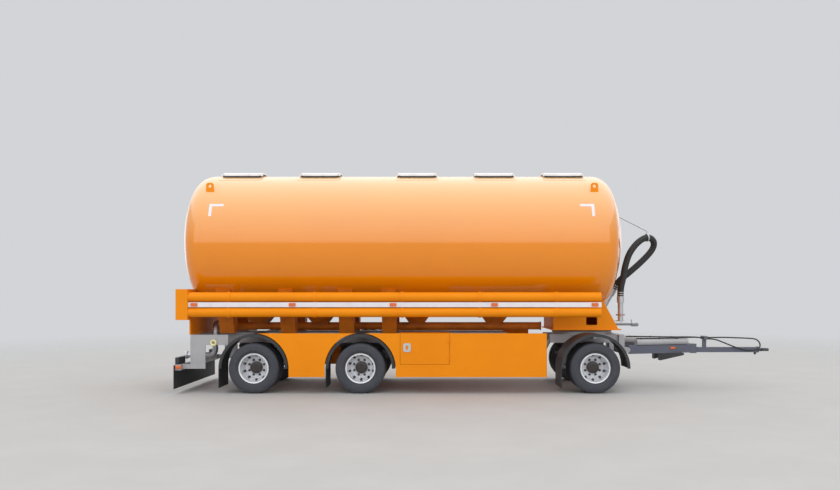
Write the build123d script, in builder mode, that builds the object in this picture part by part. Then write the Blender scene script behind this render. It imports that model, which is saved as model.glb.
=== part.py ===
from build123d import *
from math import cos, radians, sin, sqrt, tan
import os

# Three-axle drawbar trailer with a round feed tank. Millimetres.
# X runs forward to the drawbar eye, Y to the trailer's left, Z up from the road.
os.makedirs("parts", exist_ok=True)

# Gap between pieces that seat on each other
SEAT = 0.3
SIDES = {"right": -1, "left": 1}

# Tank: a cylinder between two dished heads
REAR_END = -5435
BARREL_FRONT = 2040
TANK_R = 1250
TANK_BOTTOM = 1410
TANK_Z = TANK_BOTTOM + TANK_R
KNUCKLE_R = 350
DISH_R = 2500
HEAD_DEPTH = DISH_R - sqrt((DISH_R - KNUCKLE_R) ** 2 - (TANK_R - KNUCKLE_R) ** 2)
BARREL_REAR = REAR_END + HEAD_DEPTH
BARREL_LENGTH = BARREL_FRONT - BARREL_REAR

# Roof hatches: frames and lids curved to the tank, so their heights are rises above its skin
HATCH_X = (-4375, -2950, -1175, 243, 1508)
DOUBLER_LENGTH = 790
DOUBLER_WIDTH = 1160
DOUBLER_RISE = 6
COAMING_LENGTH = 640
COAMING_WIDTH = 780
COAMING_RISE = 38
COAMING_WALL = 40
COAMING_CORNER_R = 60
WELL_DEPTH = 270
LID_LENGTH = 712
LID_WIDTH = 840
LID_RISE = 68
LID_SKIRT_RISE = 10
LID_PLAY = 12
LID_CORNER_R = 80
LID_EDGE_R = 14
LID_HINGE_GAP = 25
LID_HINGE_RISE = 36
LID_HINGE_R = 14
LID_PIN_R = 8
LID_KNUCKLE_X = 220
LID_KNUCKLE_LENGTH = 50
LID_EAR = 12
LID_CLAMP_Y = -365
LID_CLAMP_WIDTH = 60
LID_CLAMP_LENGTH = 14
LID_CLAMP_HEIGHT = 34

# Lifting lugs on the tank's shoulders
LUG_X = (-4815, 1965)
LUG_Y = 900
LUG_LENGTH = 130
LUG_HEIGHT = 150
LUG_ROOT = 130
LUG_THICKNESS = 25
LUG_HOLE_R = 30

# Wheels: twin tyres on discs bolted back to back
FRONT_AXLE_X = 1915
AXLE_SPREAD = 1840
WHEEL_GAP_X = 4050
TYRE_R = 433.5
TYRE_WIDTH = 262
BEAD_R = 248
BEAD_WIDTH = 188
TWIN_PITCH = 298
WHEEL_Y = 955
RIM_WALL = 12
FLANGE_R = 260
DISC_THICKNESS = 14
DISC_BORE_R = 110.5
DISC_FLAT_R = 188
HAND_HOLE_R = 24
HAND_HOLES = 10
HUB_R = 110
HUB_FLANGE_R = 165
HUB_CAP_R = 90
HUB_CAP_LENGTH = 64
DRUM_R = 190
DRUM_DEPTH = 210
AXLE_R = 63.5
SPINDLE_R = 40
SPINDLE_PLAY = 0.5
MIDDLE_AXLE_X = FRONT_AXLE_X - WHEEL_GAP_X
REAR_AXLE_X = MIDDLE_AXLE_X - AXLE_SPREAD
AXLE_Z = TYRE_R

# Mudguards
GUARD_R = 595
GUARD_SKIN = 10
GUARD_LIP = 50
GUARD_IN_Y = 640
GUARD_OUT_Y = 1250
FLAP_BOTTOM = 100

# Chassis frame
RAIL_Y = 450
RAIL_WIDTH = 120
RAIL_TOP = 1010
RAIL_HEIGHT = 180
RAIL_WEB = 12
RAIL_FLANGE = 14
RAIL_FRONT = 480
RAIL_BOTTOM = RAIL_TOP - RAIL_HEIGHT
CROSSMEMBER_X = (-3055, -1180, 400)
CROSSMEMBER_WIDTH = 80
CROSSMEMBER_TOP = 950
CROSSMEMBER_HEIGHT = 90
REAR_BEAM_X = -5095
REAR_BEAM_LENGTH = 120
REAR_PLATE_Y = 1110
REAR_PLATE_THICKNESS = 20
REAR_PLATE_LENGTH = 260
REAR_PLATE_BOTTOM = 420
STUB_LENGTH = 655
CARRIER_WIDTH = 60
CARRIER_HEIGHT = 32

# Suspension, the same on all three axles, measured from the axle
ARM_WIDTH = 90
ARM_FRONT = 500
ARM_REAR = 430
ARM_PIVOT_Z = 660
ARM_SEAT_Z = 620
ARM_DEPTH = 90
HANGER_LENGTH = 80
SPRING_R = 120
SPRING_X = 320

# Side panels and lockers
PANEL_Y = 1260
PANEL_THICKNESS = 30
PANEL_TOP = 1040
PANEL_BOTTOM = 290
PANEL_FRONT = 1075
ARCH_R = 612
DOOR_REAR = -1450
DOOR_FRONT = -600
DOOR_BOTTOM = 507
DOOR_GAP = 5
DOOR_HINGE_PROUD = 9
DOOR_HINGE_R = 7
DOOR_PIN_R = 4
DOOR_HINGE_LENGTH = 60
LOCKER_DEPTH = 480
LOCKER_WALL = 20
LATCH_X = -1330
LATCH_Z = 797
LATCH_LENGTH = 130
LATCH_HEIGHT = 150
LATCH_PROUD = 8

# Side hose tubes with their marker strip
TUBE_R = 82.5
TUBE_Y = TANK_R - 65
TUBE_FRONT = 2015
TUBE_Z = (TANK_BOTTOM + 255, TANK_BOTTOM - 10)
STRIP_BOTTOM = TUBE_Z[1] + 90
STRIP_TOP = STRIP_BOTTOM + 85
STRIP_Y = TUBE_Y + 55
STRIP_THICKNESS = 15
CLAMP_X = (-4400, -2925, -1415, -77, 1243)
CLAMP_WIDTH = 50
CLAMP_WALL = 9
BRACKET_WEB = 16
MARKER_X = (-4990, -3302, -1570, 173, 1900)
MARKER_LENGTH = 115
MARKER_HEIGHT = 60
MARKER_PROUD = 16

# Rear bulkhead with the boxes behind the hose tubes
BULKHEAD_THICKNESS = 20
BULKHEAD_Y = TANK_R - 150
END_BOX_LENGTH = 184
END_BOX_IN_Y = TANK_R - 170
END_BOX_OUT_Y = TANK_R + 20
END_BOX_BOTTOM = TANK_BOTTOM - 140
END_BOX_TOP = TANK_BOTTOM + 390

# Rear bumper and flap
BUMPER_X = -5335
BUMPER_LENGTH = 100
BUMPER_Y = 1200
BUMPER_BOTTOM = 400
BUMPER_HEIGHT = 100
REAR_FLAP_Y = 1240
REAR_FLAP_BOTTOM = 80
REAR_FLAP_THICKNESS = 10
REAR_LAMP_IN_Y = 820
REAR_LAMP_OUT_Y = 1180
REAR_LAMP_HEIGHT = 120
REAR_LAMP_DEPTH = 60

# Saddles between frame and tank
SADDLE_X = (-4585, -3485, -2435, -1665)
SADDLE_LENGTH = 260
SADDLE_IN_Y = 400
SADDLE_FOOT_Y = 620
SADDLE_TOP_Y = 935
SADDLE_TOP_Z = TANK_BOTTOM + 390

# Hoppers and discharge pipe
HOPPER_TABLE = (  # centre X, length at the top
    (-4118, 1020),
    (-2988, 1020),
    (-1180, 1020),
    (270, 1020),
    (1660, 760),
)
HOPPER_TOP_Z = TANK_BOTTOM + 290
HOPPER_TOP_WIDTH = 1040
OUTLET_SIDE = 300
OUTLET_Z = TANK_BOTTOM - 220
DISCHARGE_R = 70
DISCHARGE_REAR = -4870
DISCHARGE_FRONT = 1150
DISCHARGE_Z = OUTLET_Z - DISCHARGE_R
DISCHARGE_FLANGE_R = 82
DISCHARGE_FLANGE = 16
END_DOME_R = 112
END_DOME_NECK = 34

# Front pedestal and turntable
PEDESTAL_REAR = 1295
PEDESTAL_FRONT = 2480
PEDESTAL_FRONT_TOP = 2215
PEDESTAL_SLOPE_TOP_Z = TANK_BOTTOM + 145
PEDESTAL_Y = 580
PEDESTAL_WALL = 20
PEDESTAL_FLANGE_Y = 620
PEDESTAL_FLANGE_Z = 1065
PEDESTAL_FLANGE_THICKNESS = 20
PEDESTAL_LEDGE = 30
WINDOW_REAR = 1886
WINDOW_FRONT = 2085
WINDOW_BOTTOM = 1157
WINDOW_TOP = 1302
RACE_R = 550
RACE_BORE_R = 480
RACE_SPLIT_Z = 1035

# Dolly
DOLLY_BEAM_Y = 400
DOLLY_BEAM_WIDTH = 100
DOLLY_BEAM_BOTTOM = 830
DOLLY_BEAM_HEIGHT = 150
DOLLY_REAR = 1250
DOLLY_FRONT = 2595
DOLLY_NOSE_LENGTH = 100
DOLLY_NOSE_Y = 520
DOLLY_NOSE_BOTTOM = 650
DOLLY_CROSS_X = (1600, 2230)

# Drawbar
HINGE_X = 2650
HINGE_Z = 700
HINGE_Y = 440
KNUCKLE_WIDTH = 82
KNUCKLE_OUTER_R = 45
HINGE_PIN_R = 20
HINGE_PLAY = 0.5
CHEEK_THICKNESS = 32
CHEEK_GAP = 7
CHEEK_R = 50
ARM_START_X = 2690
DRAWBAR_ARM_WIDTH = 76
DRAWBAR_ARM_HEIGHT = 150
ARM_END_X = 4000
ARM_END_Y = 80
POLE_END_X = 5215
POLE_WIDTH = 100
POLE_HEIGHT = 95
POLE_Z = 674
COLLAR_LENGTH = 100
COLLAR_PROUD = 12
EYE_FRONT_X = 5435
EYE_R = 75
EYE_BORE_R = 28.75
EYE_THICKNESS = 50
EYE_SHANK_R = 32
EYE_PLATE_R = 58
EYE_PLATE_THICKNESS = 22
POST_X = 4225
POST_SIDE = 60
POST_TOP = 930
POST_HEAD_Y = 110
POST_HEAD_HEIGHT = 66
TOP_PIPE_R = 58
TOP_PIPE_START = 2830
TOP_PIPE_END = 3870
CHOCK_REAR = 3320
CHOCK_FRONT = 3760
CHOCK_DEPTH = 135
CHOCK_NOSE = 35
CHOCK_IN_Y = 120
CHOCK_OUT_Y = 260

# Air tanks under the rails
AIR_TANK_R = 123
AIR_TANK_REAR = -330
AIR_TANK_FRONT = 370

# Rear outlet
OUTLET_PIPE_R = 50
OUTLET_PIPE_Y = -620
OUTLET_PIPE_Z = 620
OUTLET_END_X = -5355
OUTLET_RISER_X = -4800
OUTLET_BEND_R = 95
OUTLET_COUPLING_R = 70
OUTLET_COUPLING_LENGTH = 60
VALVE_X = -5190
VALVE_R = 75
VALVE_LENGTH = 90
LEVER_TOP = 800
LEVER_SIDE = 25
OUTLET_STRAP = 50

# Front pipework and transfer hose
PIPE_R = 50
PIPE_LOW_Z = 1180
PIPE_LOW_END = 2945
PIPE_FLANGE_Z = 1330
COUPLING_R = 66
COUPLING_LENGTH = 120
HOSE_R = 59
STAY_R = 13
STAY_FOOT_Z = TANK_Z + 570
STAY_BEND = (3140, -22, 2905)
COLLAR_RING_R = 74

# Route of the transfer hose, from the tilted coupling over the stay to the upright one
HOSE_ROUTE = (
    (2545, 100, 1810),
    (2625, 100, 1954.3),
    (2800, 102, 2090),
    (3010, 104, 2270),
    (3205, 100, 2460),
    (3300, 80, 2600),
    (3295, 45, 2712),
    (3205, 0, 2785),
    (3075, -45, 2768),
    (2925, -80, 2660),
    (2785, -98, 2474),
    (2712, -100, 2240),
    (2672, -100, 2000),
    (2625, -100, 1815),
    (2625, -100, 1677),
)

# Route of the drawbar cable, out of the post's head and back to it
CABLE_R = 12.5
CABLE_ROUTE = (
    (4255.3, -80, 880),
    (4390, -80, 880),
    (4570, -90, 806),
    (4790, -94, 716),
    (4930, -96, 675),
    (5045, -95, 660),
    (5140, -92, 668),
    (5210, -80, 686),
    (5259, -56, 740),
    (5259, -24, 812),
    (5212, 8, 866),
    (5140, 28, 880),
    (5025, 38, 886),
    (4830, 44, 893),
    (4600, 44, 901),
    (4420, 40, 897),
    (4255.3, 40, 897),
)


# A box between two corners
def block(x_span, y_span, z_span, mode=Mode.ADD):
    centre = [(span[0] + span[1]) / 2 for span in (x_span, y_span, z_span)]
    size = [abs(span[1] - span[0]) for span in (x_span, y_span, z_span)]
    with Locations(tuple(centre)):
        Box(*size, mode=mode)


# A straight round bar between two points
def bar(start, end, radius, mode=Mode.ADD):
    run = Vector(*end) - Vector(*start)
    with Locations(Plane(origin=start, z_dir=run)):
        Cylinder(radius, run.length, align=(Align.CENTER, Align.CENTER, Align.MIN), mode=mode)


# An outline in the side view, as thick as its Y span
def side_plate(points, y_span, mode=Mode.ADD):
    with BuildSketch(Plane.XZ.offset(-(y_span[0] + y_span[1]) / 2)) as outline:
        with BuildLine():
            Polyline(*points, close=True)
        make_face()
    extrude(outline.sketch, amount=abs(y_span[1] - y_span[0]) / 2, both=True, mode=mode)


# An outline in the end view, as thick as its X span
def end_plate(points, x_span, mode=Mode.ADD):
    with BuildSketch(Plane.YZ.offset((x_span[0] + x_span[1]) / 2)) as outline:
        with BuildLine():
            Polyline(*points, close=True)
        make_face()
    extrude(outline.sketch, amount=abs(x_span[1] - x_span[0]) / 2, both=True, mode=mode)


# Label a finished piece and write it
def keep(piece, name):
    piece.part.label = name
    export_step(piece.part, f"parts/{name}.step")


# A cord's corner radii: as large as the two runs at each corner allow
def bend_radii(route):
    points = [Vector(*point) for point in route]
    radii = []
    for before, corner, after in zip(points, points[1:], points[2:]):
        run_in = corner - before
        run_out = after - corner
        half_turn = radians(run_in.get_angle(run_out)) / 2
        radii.append(0.45 * min(run_in.length, run_out.length) / tan(half_turn))
    return radii


# A tube along straight runs joined by tangent arcs
def tube_along(route, radii, radius):
    with BuildLine() as path:
        FilletPolyline(*route, radius=radii)
    start = path.line @ 0
    with BuildSketch(Plane(origin=start, z_dir=path.line % 0)) as section:
        Circle(radius)
    sweep(section.sketch, path=path.line)


# Half outline of the whole tank, grown by a gap, for a revolve about the tank's axis
def tank_outline(gap):
    radius = TANK_R + gap
    knuckle = KNUCKLE_R + gap
    dish = DISH_R + gap
    knuckle_r = TANK_R - KNUCKLE_R
    lean = knuckle_r / (DISH_R - KNUCKLE_R)
    rise = sqrt(1 - lean**2)
    half_lean = sqrt((1 - rise) / 2), sqrt((1 + rise) / 2)
    for end_x, way in ((BARREL_REAR, -1), (BARREL_FRONT, 1)):
        dish_x = end_x + way * (HEAD_DEPTH - DISH_R)
        corner = (end_x, TANK_Z + radius)
        turn = 1 / sqrt(2)
        bulge = (end_x + way * knuckle * turn, TANK_Z + knuckle_r + knuckle * turn)
        tangent = (end_x + way * knuckle * rise, TANK_Z + knuckle_r + knuckle * lean)
        middle = (dish_x + way * dish * half_lean[1], TANK_Z + dish * half_lean[0])
        apex = (dish_x + way * dish, TANK_Z)
        ThreePointArc(corner, bulge, tangent)
        ThreePointArc(tangent, middle, apex)
    Line((BARREL_REAR, TANK_Z + radius), (BARREL_FRONT, TANK_Z + radius))
    Line((REAR_END - gap, TANK_Z), (BARREL_FRONT + HEAD_DEPTH + gap, TANK_Z))


TANK_AXIS = Axis((0, 0, TANK_Z), (1, 0, 0))

# Whole tank with its seat gap, cut from everything that the tank rests on
with BuildPart() as tank_envelope:
    with BuildSketch(Plane.XZ):
        with BuildLine():
            tank_outline(SEAT)
        make_face()
    revolve(axis=TANK_AXIS)

# Dished heads: what of the tank lies past each end of the barrel
for end_name, end_x, way in (("rear", BARREL_REAR, -1), ("front", BARREL_FRONT, 1)):
    with BuildPart() as head:
        with BuildSketch(Plane.XZ):
            with BuildLine():
                tank_outline(0)
            make_face()
        revolve(axis=TANK_AXIS)
        split(bisect_by=Plane(origin=(end_x, 0, 0), z_dir=(way, 0, 0)), keep=Keep.TOP)
    keep(head, f"tank_head_{end_name}")

# Round bars on the tank's axis that trim the hatch frames and lids to the tank's curve
ROUNDS = {  # rise above the tank's skin
    "doubler": DOUBLER_RISE,
    "skirt": LID_SKIRT_RISE,
    "coaming": COAMING_RISE,
    "seat": COAMING_RISE + SEAT,
    "lid": LID_RISE,
}
rounds = {}
for round_name, rise in ROUNDS.items():
    with BuildPart() as round_bar:
        with BuildSketch(Plane.YZ.offset(BARREL_REAR)):
            with Locations((0, TANK_Z)):
                Circle(TANK_R + rise)
        extrude(amount=BARREL_LENGTH)
    rounds[round_name] = round_bar.part

# Hatch frames: a doubler plate and a coaming on each hatch, trimmed to their curves
tank_top = TANK_Z + TANK_R
doubler_foot = TANK_Z + sqrt(TANK_R**2 - (DOUBLER_WIDTH / 2) ** 2) - LUG_THICKNESS
with BuildPart() as doublers:
    with BuildSketch(Plane.XY.offset(doubler_foot)):
        with Locations(*[(x, 0) for x in HATCH_X]):
            RectangleRounded(DOUBLER_LENGTH, DOUBLER_WIDTH, LID_CORNER_R)
    extrude(amount=tank_top + LID_RISE - doubler_foot)
    add(rounds["doubler"], mode=Mode.INTERSECT)

with BuildPart() as coamings:
    with BuildSketch(Plane.XY.offset(doubler_foot)):
        with Locations(*[(x, 0) for x in HATCH_X]):
            RectangleRounded(COAMING_LENGTH, COAMING_WIDTH, COAMING_CORNER_R)
    extrude(amount=tank_top + LID_RISE - doubler_foot)
    add(rounds["coaming"], mode=Mode.INTERSECT)

# Barrel with the hatch frames, their hinge ears and the lifting lugs welded on
lid_hinge_y = LID_WIDTH / 2 + LID_HINGE_GAP
lid_hinge_z = TANK_Z + sqrt(TANK_R**2 - lid_hinge_y**2) + LID_HINGE_RISE
ear_near = LID_KNUCKLE_LENGTH / 2 + 6
ear_foot = TANK_Z + sqrt(TANK_R**2 - (lid_hinge_y + LID_HINGE_R) ** 2) - 20
lug_skin_z = TANK_Z + sqrt(TANK_R**2 - LUG_Y**2)
with BuildPart() as tank_barrel:
    with BuildSketch(Plane.YZ.offset(BARREL_REAR)):
        with Locations((0, TANK_Z)):
            Circle(TANK_R)
    extrude(amount=BARREL_LENGTH)
    add(doublers.part)
    add(coamings.part)
    with BuildSketch(Plane.XY.offset(tank_top - WELL_DEPTH)):
        with Locations(*[(x, 0) for x in HATCH_X]):
            RectangleRounded(
                COAMING_LENGTH - 2 * COAMING_WALL, COAMING_WIDTH - 2 * COAMING_WALL, COAMING_WALL
            )
    extrude(amount=WELL_DEPTH + LID_RISE, mode=Mode.SUBTRACT)
    for hatch_x in HATCH_X:
        for knuckle_x in (hatch_x - LID_KNUCKLE_X, hatch_x + LID_KNUCKLE_X):
            for ear_x in (knuckle_x - ear_near - LID_EAR / 2, knuckle_x + ear_near + LID_EAR / 2):
                with BuildSketch(Plane.YZ.offset(ear_x)):
                    with Locations((lid_hinge_y, lid_hinge_z)):
                        Circle(LID_HINGE_R)
                    with Locations((lid_hinge_y, (lid_hinge_z + ear_foot) / 2)):
                        Rectangle(2 * LID_HINGE_R, lid_hinge_z - ear_foot)
                extrude(amount=LID_EAR / 2, both=True)
            bar(
                (knuckle_x - ear_near - LID_EAR, lid_hinge_y, lid_hinge_z),
                (knuckle_x + ear_near + LID_EAR, lid_hinge_y, lid_hinge_z),
                LID_PIN_R,
            )
    for side in SIDES.values():
        with BuildSketch(Plane.XZ.offset(-side * LUG_Y)):
            with Locations(*[(x, lug_skin_z + (LUG_HEIGHT - LUG_ROOT) / 2) for x in LUG_X]):
                RectangleRounded(LUG_LENGTH, LUG_HEIGHT + LUG_ROOT, LUG_LENGTH / 3)
            with Locations(*[(x, lug_skin_z + LUG_HEIGHT * 0.6) for x in LUG_X]):
                Circle(LUG_HOLE_R, mode=Mode.SUBTRACT)
        extrude(amount=LUG_THICKNESS / 2, both=True)
keep(tank_barrel, "tank_barrel")

# Hatch lids: curved pans whose skirts reach down round the coaming, with two clamps and two hinge knuckles
clamp_skin_z = TANK_Z + sqrt(TANK_R**2 - LID_CLAMP_Y**2)
for number, hatch_x in enumerate(HATCH_X, start=1):
    with BuildPart() as lid_cavity:
        with BuildSketch(Plane.XY.offset(doubler_foot)):
            with Locations((hatch_x, 0)):
                RectangleRounded(
                    COAMING_LENGTH + 2 * LID_PLAY, COAMING_WIDTH + 2 * LID_PLAY, COAMING_CORNER_R + LID_PLAY
                )
        extrude(amount=tank_top + LID_RISE - doubler_foot)
        add(rounds["seat"], mode=Mode.INTERSECT)

    with BuildPart() as hatch_lid:
        with BuildSketch(Plane.XY.offset(doubler_foot)):
            with Locations((hatch_x, 0)):
                RectangleRounded(LID_LENGTH, LID_WIDTH, LID_CORNER_R)
        extrude(amount=tank_top + 2 * LID_RISE - doubler_foot)
        add(rounds["lid"], mode=Mode.INTERSECT)
        crown = hatch_lid.faces().filter_by(GeomType.CYLINDER).sort_by(SortBy.AREA)[-1]
        fillet(crown.edges(), LID_EDGE_R)
        add(rounds["skirt"], mode=Mode.SUBTRACT)
        add(lid_cavity.part, mode=Mode.SUBTRACT)
        for way in (-1, 1):
            end_x = hatch_x + way * LID_LENGTH / 2
            block(
                (end_x - way * LID_CLAMP_LENGTH, end_x + way * LID_CLAMP_LENGTH),
                (LID_CLAMP_Y - LID_CLAMP_WIDTH / 2, LID_CLAMP_Y + LID_CLAMP_WIDTH / 2),
                (clamp_skin_z + 2 * LID_SKIRT_RISE, clamp_skin_z + 2 * LID_SKIRT_RISE + LID_CLAMP_HEIGHT),
            )
        for knuckle_x in (hatch_x - LID_KNUCKLE_X, hatch_x + LID_KNUCKLE_X):
            knuckle = (knuckle_x - LID_KNUCKLE_LENGTH / 2, knuckle_x + LID_KNUCKLE_LENGTH / 2)
            block(
                knuckle,
                (LID_WIDTH / 2 - LID_PLAY / 2, lid_hinge_y),
                (lid_hinge_z - LID_HINGE_R, lid_hinge_z + LID_HINGE_R),
            )
            bar((knuckle[0], lid_hinge_y, lid_hinge_z), (knuckle[1], lid_hinge_y, lid_hinge_z), LID_HINGE_R)
            bar(
                (knuckle[0], lid_hinge_y, lid_hinge_z),
                (knuckle[1], lid_hinge_y, lid_hinge_z),
                LID_PIN_R + SPINDLE_PLAY,
                Mode.SUBTRACT,
            )
    keep(hatch_lid, f"hatch_lid_{number}")

# Discharge hoppers: tapered chutes under the tank, down to square outlets
with BuildPart() as discharge_hoppers:
    for hopper_x, top_length in HOPPER_TABLE:
        with BuildSketch(Plane.XY.offset(OUTLET_Z)):
            with Locations((hopper_x, 0)):
                Rectangle(OUTLET_SIDE, OUTLET_SIDE)
        with BuildSketch(Plane.XY.offset(HOPPER_TOP_Z)):
            with Locations((hopper_x, 0)):
                Rectangle(top_length, HOPPER_TOP_WIDTH)
        loft(ruled=True)
    add(tank_envelope.part, mode=Mode.SUBTRACT)
keep(discharge_hoppers, "discharge_hoppers")

# Discharge pipe under the hoppers, with a boot up to each outlet it reaches
with BuildPart() as discharge_pipe:
    bar((DISCHARGE_REAR, 0, DISCHARGE_Z), (DISCHARGE_FRONT, 0, DISCHARGE_Z), DISCHARGE_R)
    for hopper_x, top_length in HOPPER_TABLE:
        if hopper_x + OUTLET_SIDE / 2 < DISCHARGE_FRONT:
            block(
                (hopper_x - OUTLET_SIDE / 2, hopper_x + OUTLET_SIDE / 2),
                (-DISCHARGE_R, DISCHARGE_R),
                (DISCHARGE_Z, OUTLET_Z - SEAT),
            )
    for end_x in (DISCHARGE_REAR, DISCHARGE_FRONT - DISCHARGE_FLANGE):
        bar((end_x, 0, DISCHARGE_Z), (end_x + DISCHARGE_FLANGE, 0, DISCHARGE_Z), DISCHARGE_FLANGE_R)
keep(discharge_pipe, "discharge_pipe")

# Saddles: broad legs from the rails up round the tank's underside
with BuildPart() as tank_saddles:
    for side in SIDES.values():
        for saddle_x in SADDLE_X:
            end_plate(
                (
                    (side * SADDLE_IN_Y, RAIL_TOP),
                    (side * SADDLE_FOOT_Y, RAIL_TOP),
                    (side * SADDLE_TOP_Y, SADDLE_TOP_Z),
                    (side * SADDLE_IN_Y, SADDLE_TOP_Z),
                ),
                (saddle_x - SADDLE_LENGTH / 2, saddle_x + SADDLE_LENGTH / 2),
            )
    add(tank_envelope.part, mode=Mode.SUBTRACT)
keep(tank_saddles, "tank_saddles")

# Rear bulkhead: a cross plate cut round the tank, with a closed box behind each pair of hose tubes
bulkhead_front = REAR_BEAM_X - SEAT
bulkhead_rear = bulkhead_front - BULKHEAD_THICKNESS
with BuildPart() as rear_bulkhead:
    end_plate(
        (
            (-BULKHEAD_Y, RAIL_TOP),
            (-BULKHEAD_Y, END_BOX_BOTTOM),
            (-END_BOX_OUT_Y, END_BOX_BOTTOM),
            (-END_BOX_OUT_Y, END_BOX_TOP),
            (END_BOX_OUT_Y, END_BOX_TOP),
            (END_BOX_OUT_Y, END_BOX_BOTTOM),
            (BULKHEAD_Y, END_BOX_BOTTOM),
            (BULKHEAD_Y, RAIL_TOP),
        ),
        (bulkhead_rear, bulkhead_front),
    )
    for side in SIDES.values():
        block(
            (bulkhead_rear - END_BOX_LENGTH, bulkhead_rear),
            (side * END_BOX_IN_Y, side * END_BOX_OUT_Y),
            (END_BOX_BOTTOM, END_BOX_TOP),
        )
    add(tank_envelope.part, mode=Mode.SUBTRACT)
keep(rear_bulkhead, "rear_bulkhead")

# Hose tubes: two closed tubes along each flank, capped in front
with BuildPart() as hose_tubes:
    for side in SIDES.values():
        for tube_z in TUBE_Z:
            bar((REAR_BEAM_X, side * TUBE_Y, tube_z), (TUBE_FRONT, side * TUBE_Y, tube_z), TUBE_R)
    chamfer(hose_tubes.faces().sort_by(Axis.X)[-4:].edges(), 8)
keep(hose_tubes, "hose_tubes")

# Tube brackets: a web out from the tank with a strap round each tube and a tab for the marker strip
strip_in_y = STRIP_Y - STRIP_THICKNESS
bracket_out = TUBE_R + CLAMP_WALL
with BuildPart() as tube_brackets:
    for side in SIDES.values():
        for clamp_x in CLAMP_X:
            end_plate(
                (
                    (side * TUBE_Y, TUBE_Z[1] - bracket_out),
                    (side * TUBE_Y, STRIP_BOTTOM),
                    (side * (strip_in_y - SEAT), STRIP_BOTTOM),
                    (side * (strip_in_y - SEAT), STRIP_TOP),
                    (side * TUBE_Y, STRIP_TOP),
                    (side * TUBE_Y, TUBE_Z[0] + bracket_out),
                    (side * (TUBE_Y - 2 * TUBE_R), SADDLE_TOP_Z - CLAMP_WIDTH),
                    (side * TANK_R / 2, SADDLE_TOP_Z - CLAMP_WIDTH),
                    (side * TANK_R / 2, TUBE_Z[0] - TUBE_R),
                    (side * (TUBE_Y - 2 * TUBE_R), TUBE_Z[1] - bracket_out),
                ),
                (clamp_x - BRACKET_WEB / 2, clamp_x + BRACKET_WEB / 2),
            )
            for tube_z in TUBE_Z:
                bar(
                    (clamp_x - CLAMP_WIDTH / 2, side * TUBE_Y, tube_z),
                    (clamp_x + CLAMP_WIDTH / 2, side * TUBE_Y, tube_z),
                    bracket_out,
                )
            for tube_z in TUBE_Z:
                bar(
                    (clamp_x - CLAMP_WIDTH, side * TUBE_Y, tube_z),
                    (clamp_x + CLAMP_WIDTH, side * TUBE_Y, tube_z),
                    TUBE_R + SEAT,
                    Mode.SUBTRACT,
                )
    add(tank_envelope.part, mode=Mode.SUBTRACT)
keep(tube_brackets, "tube_brackets")

# Marker strips between the tubes, and the amber lamps on them
with BuildPart() as marker_strips:
    for side in SIDES.values():
        block(
            (REAR_BEAM_X, TUBE_FRONT),
            (side * strip_in_y, side * STRIP_Y),
            (STRIP_BOTTOM, STRIP_TOP),
        )
keep(marker_strips, "marker_strips")

strip_mid_z = (STRIP_BOTTOM + STRIP_TOP) / 2
with BuildPart() as side_markers:
    for side in SIDES.values():
        for marker_x in MARKER_X:
            block(
                (marker_x - MARKER_LENGTH / 2, marker_x + MARKER_LENGTH / 2),
                (side * (STRIP_Y + SEAT), side * (STRIP_Y + MARKER_PROUD)),
                (strip_mid_z - MARKER_HEIGHT / 2, strip_mid_z + MARKER_HEIGHT / 2),
            )
    fillet(side_markers.edges().filter_by(Axis.Y), MARKER_HEIGHT / 4)
keep(side_markers, "side_markers")

# Chassis frame: two beams, crossmembers, outriggers, mudguard carriers, suspension hangers and the rear end
locker_in_y = PANEL_Y - PANEL_THICKNESS - SEAT - LOCKER_DEPTH
panel_in_y = PANEL_Y - PANEL_THICKNESS
carrier_top = AXLE_Z + sqrt((GUARD_R - GUARD_SKIN) ** 2 - (CARRIER_WIDTH / 2) ** 2) - SEAT
rail_out_y = RAIL_Y + RAIL_WIDTH / 2
locker_mid_x = (DOOR_REAR + DOOR_FRONT) / 2
OUTRIGGERS = (  # X, how far out it reaches
    (CROSSMEMBER_X[0], panel_in_y - SEAT),
    (locker_mid_x - LOCKER_DEPTH / 2, locker_in_y - SEAT),
    (locker_mid_x + LOCKER_DEPTH / 2, locker_in_y - SEAT),
    (CROSSMEMBER_X[2], panel_in_y - SEAT),
)
outrigger_z = (CROSSMEMBER_TOP - CROSSMEMBER_HEIGHT, CROSSMEMBER_TOP)
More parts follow.
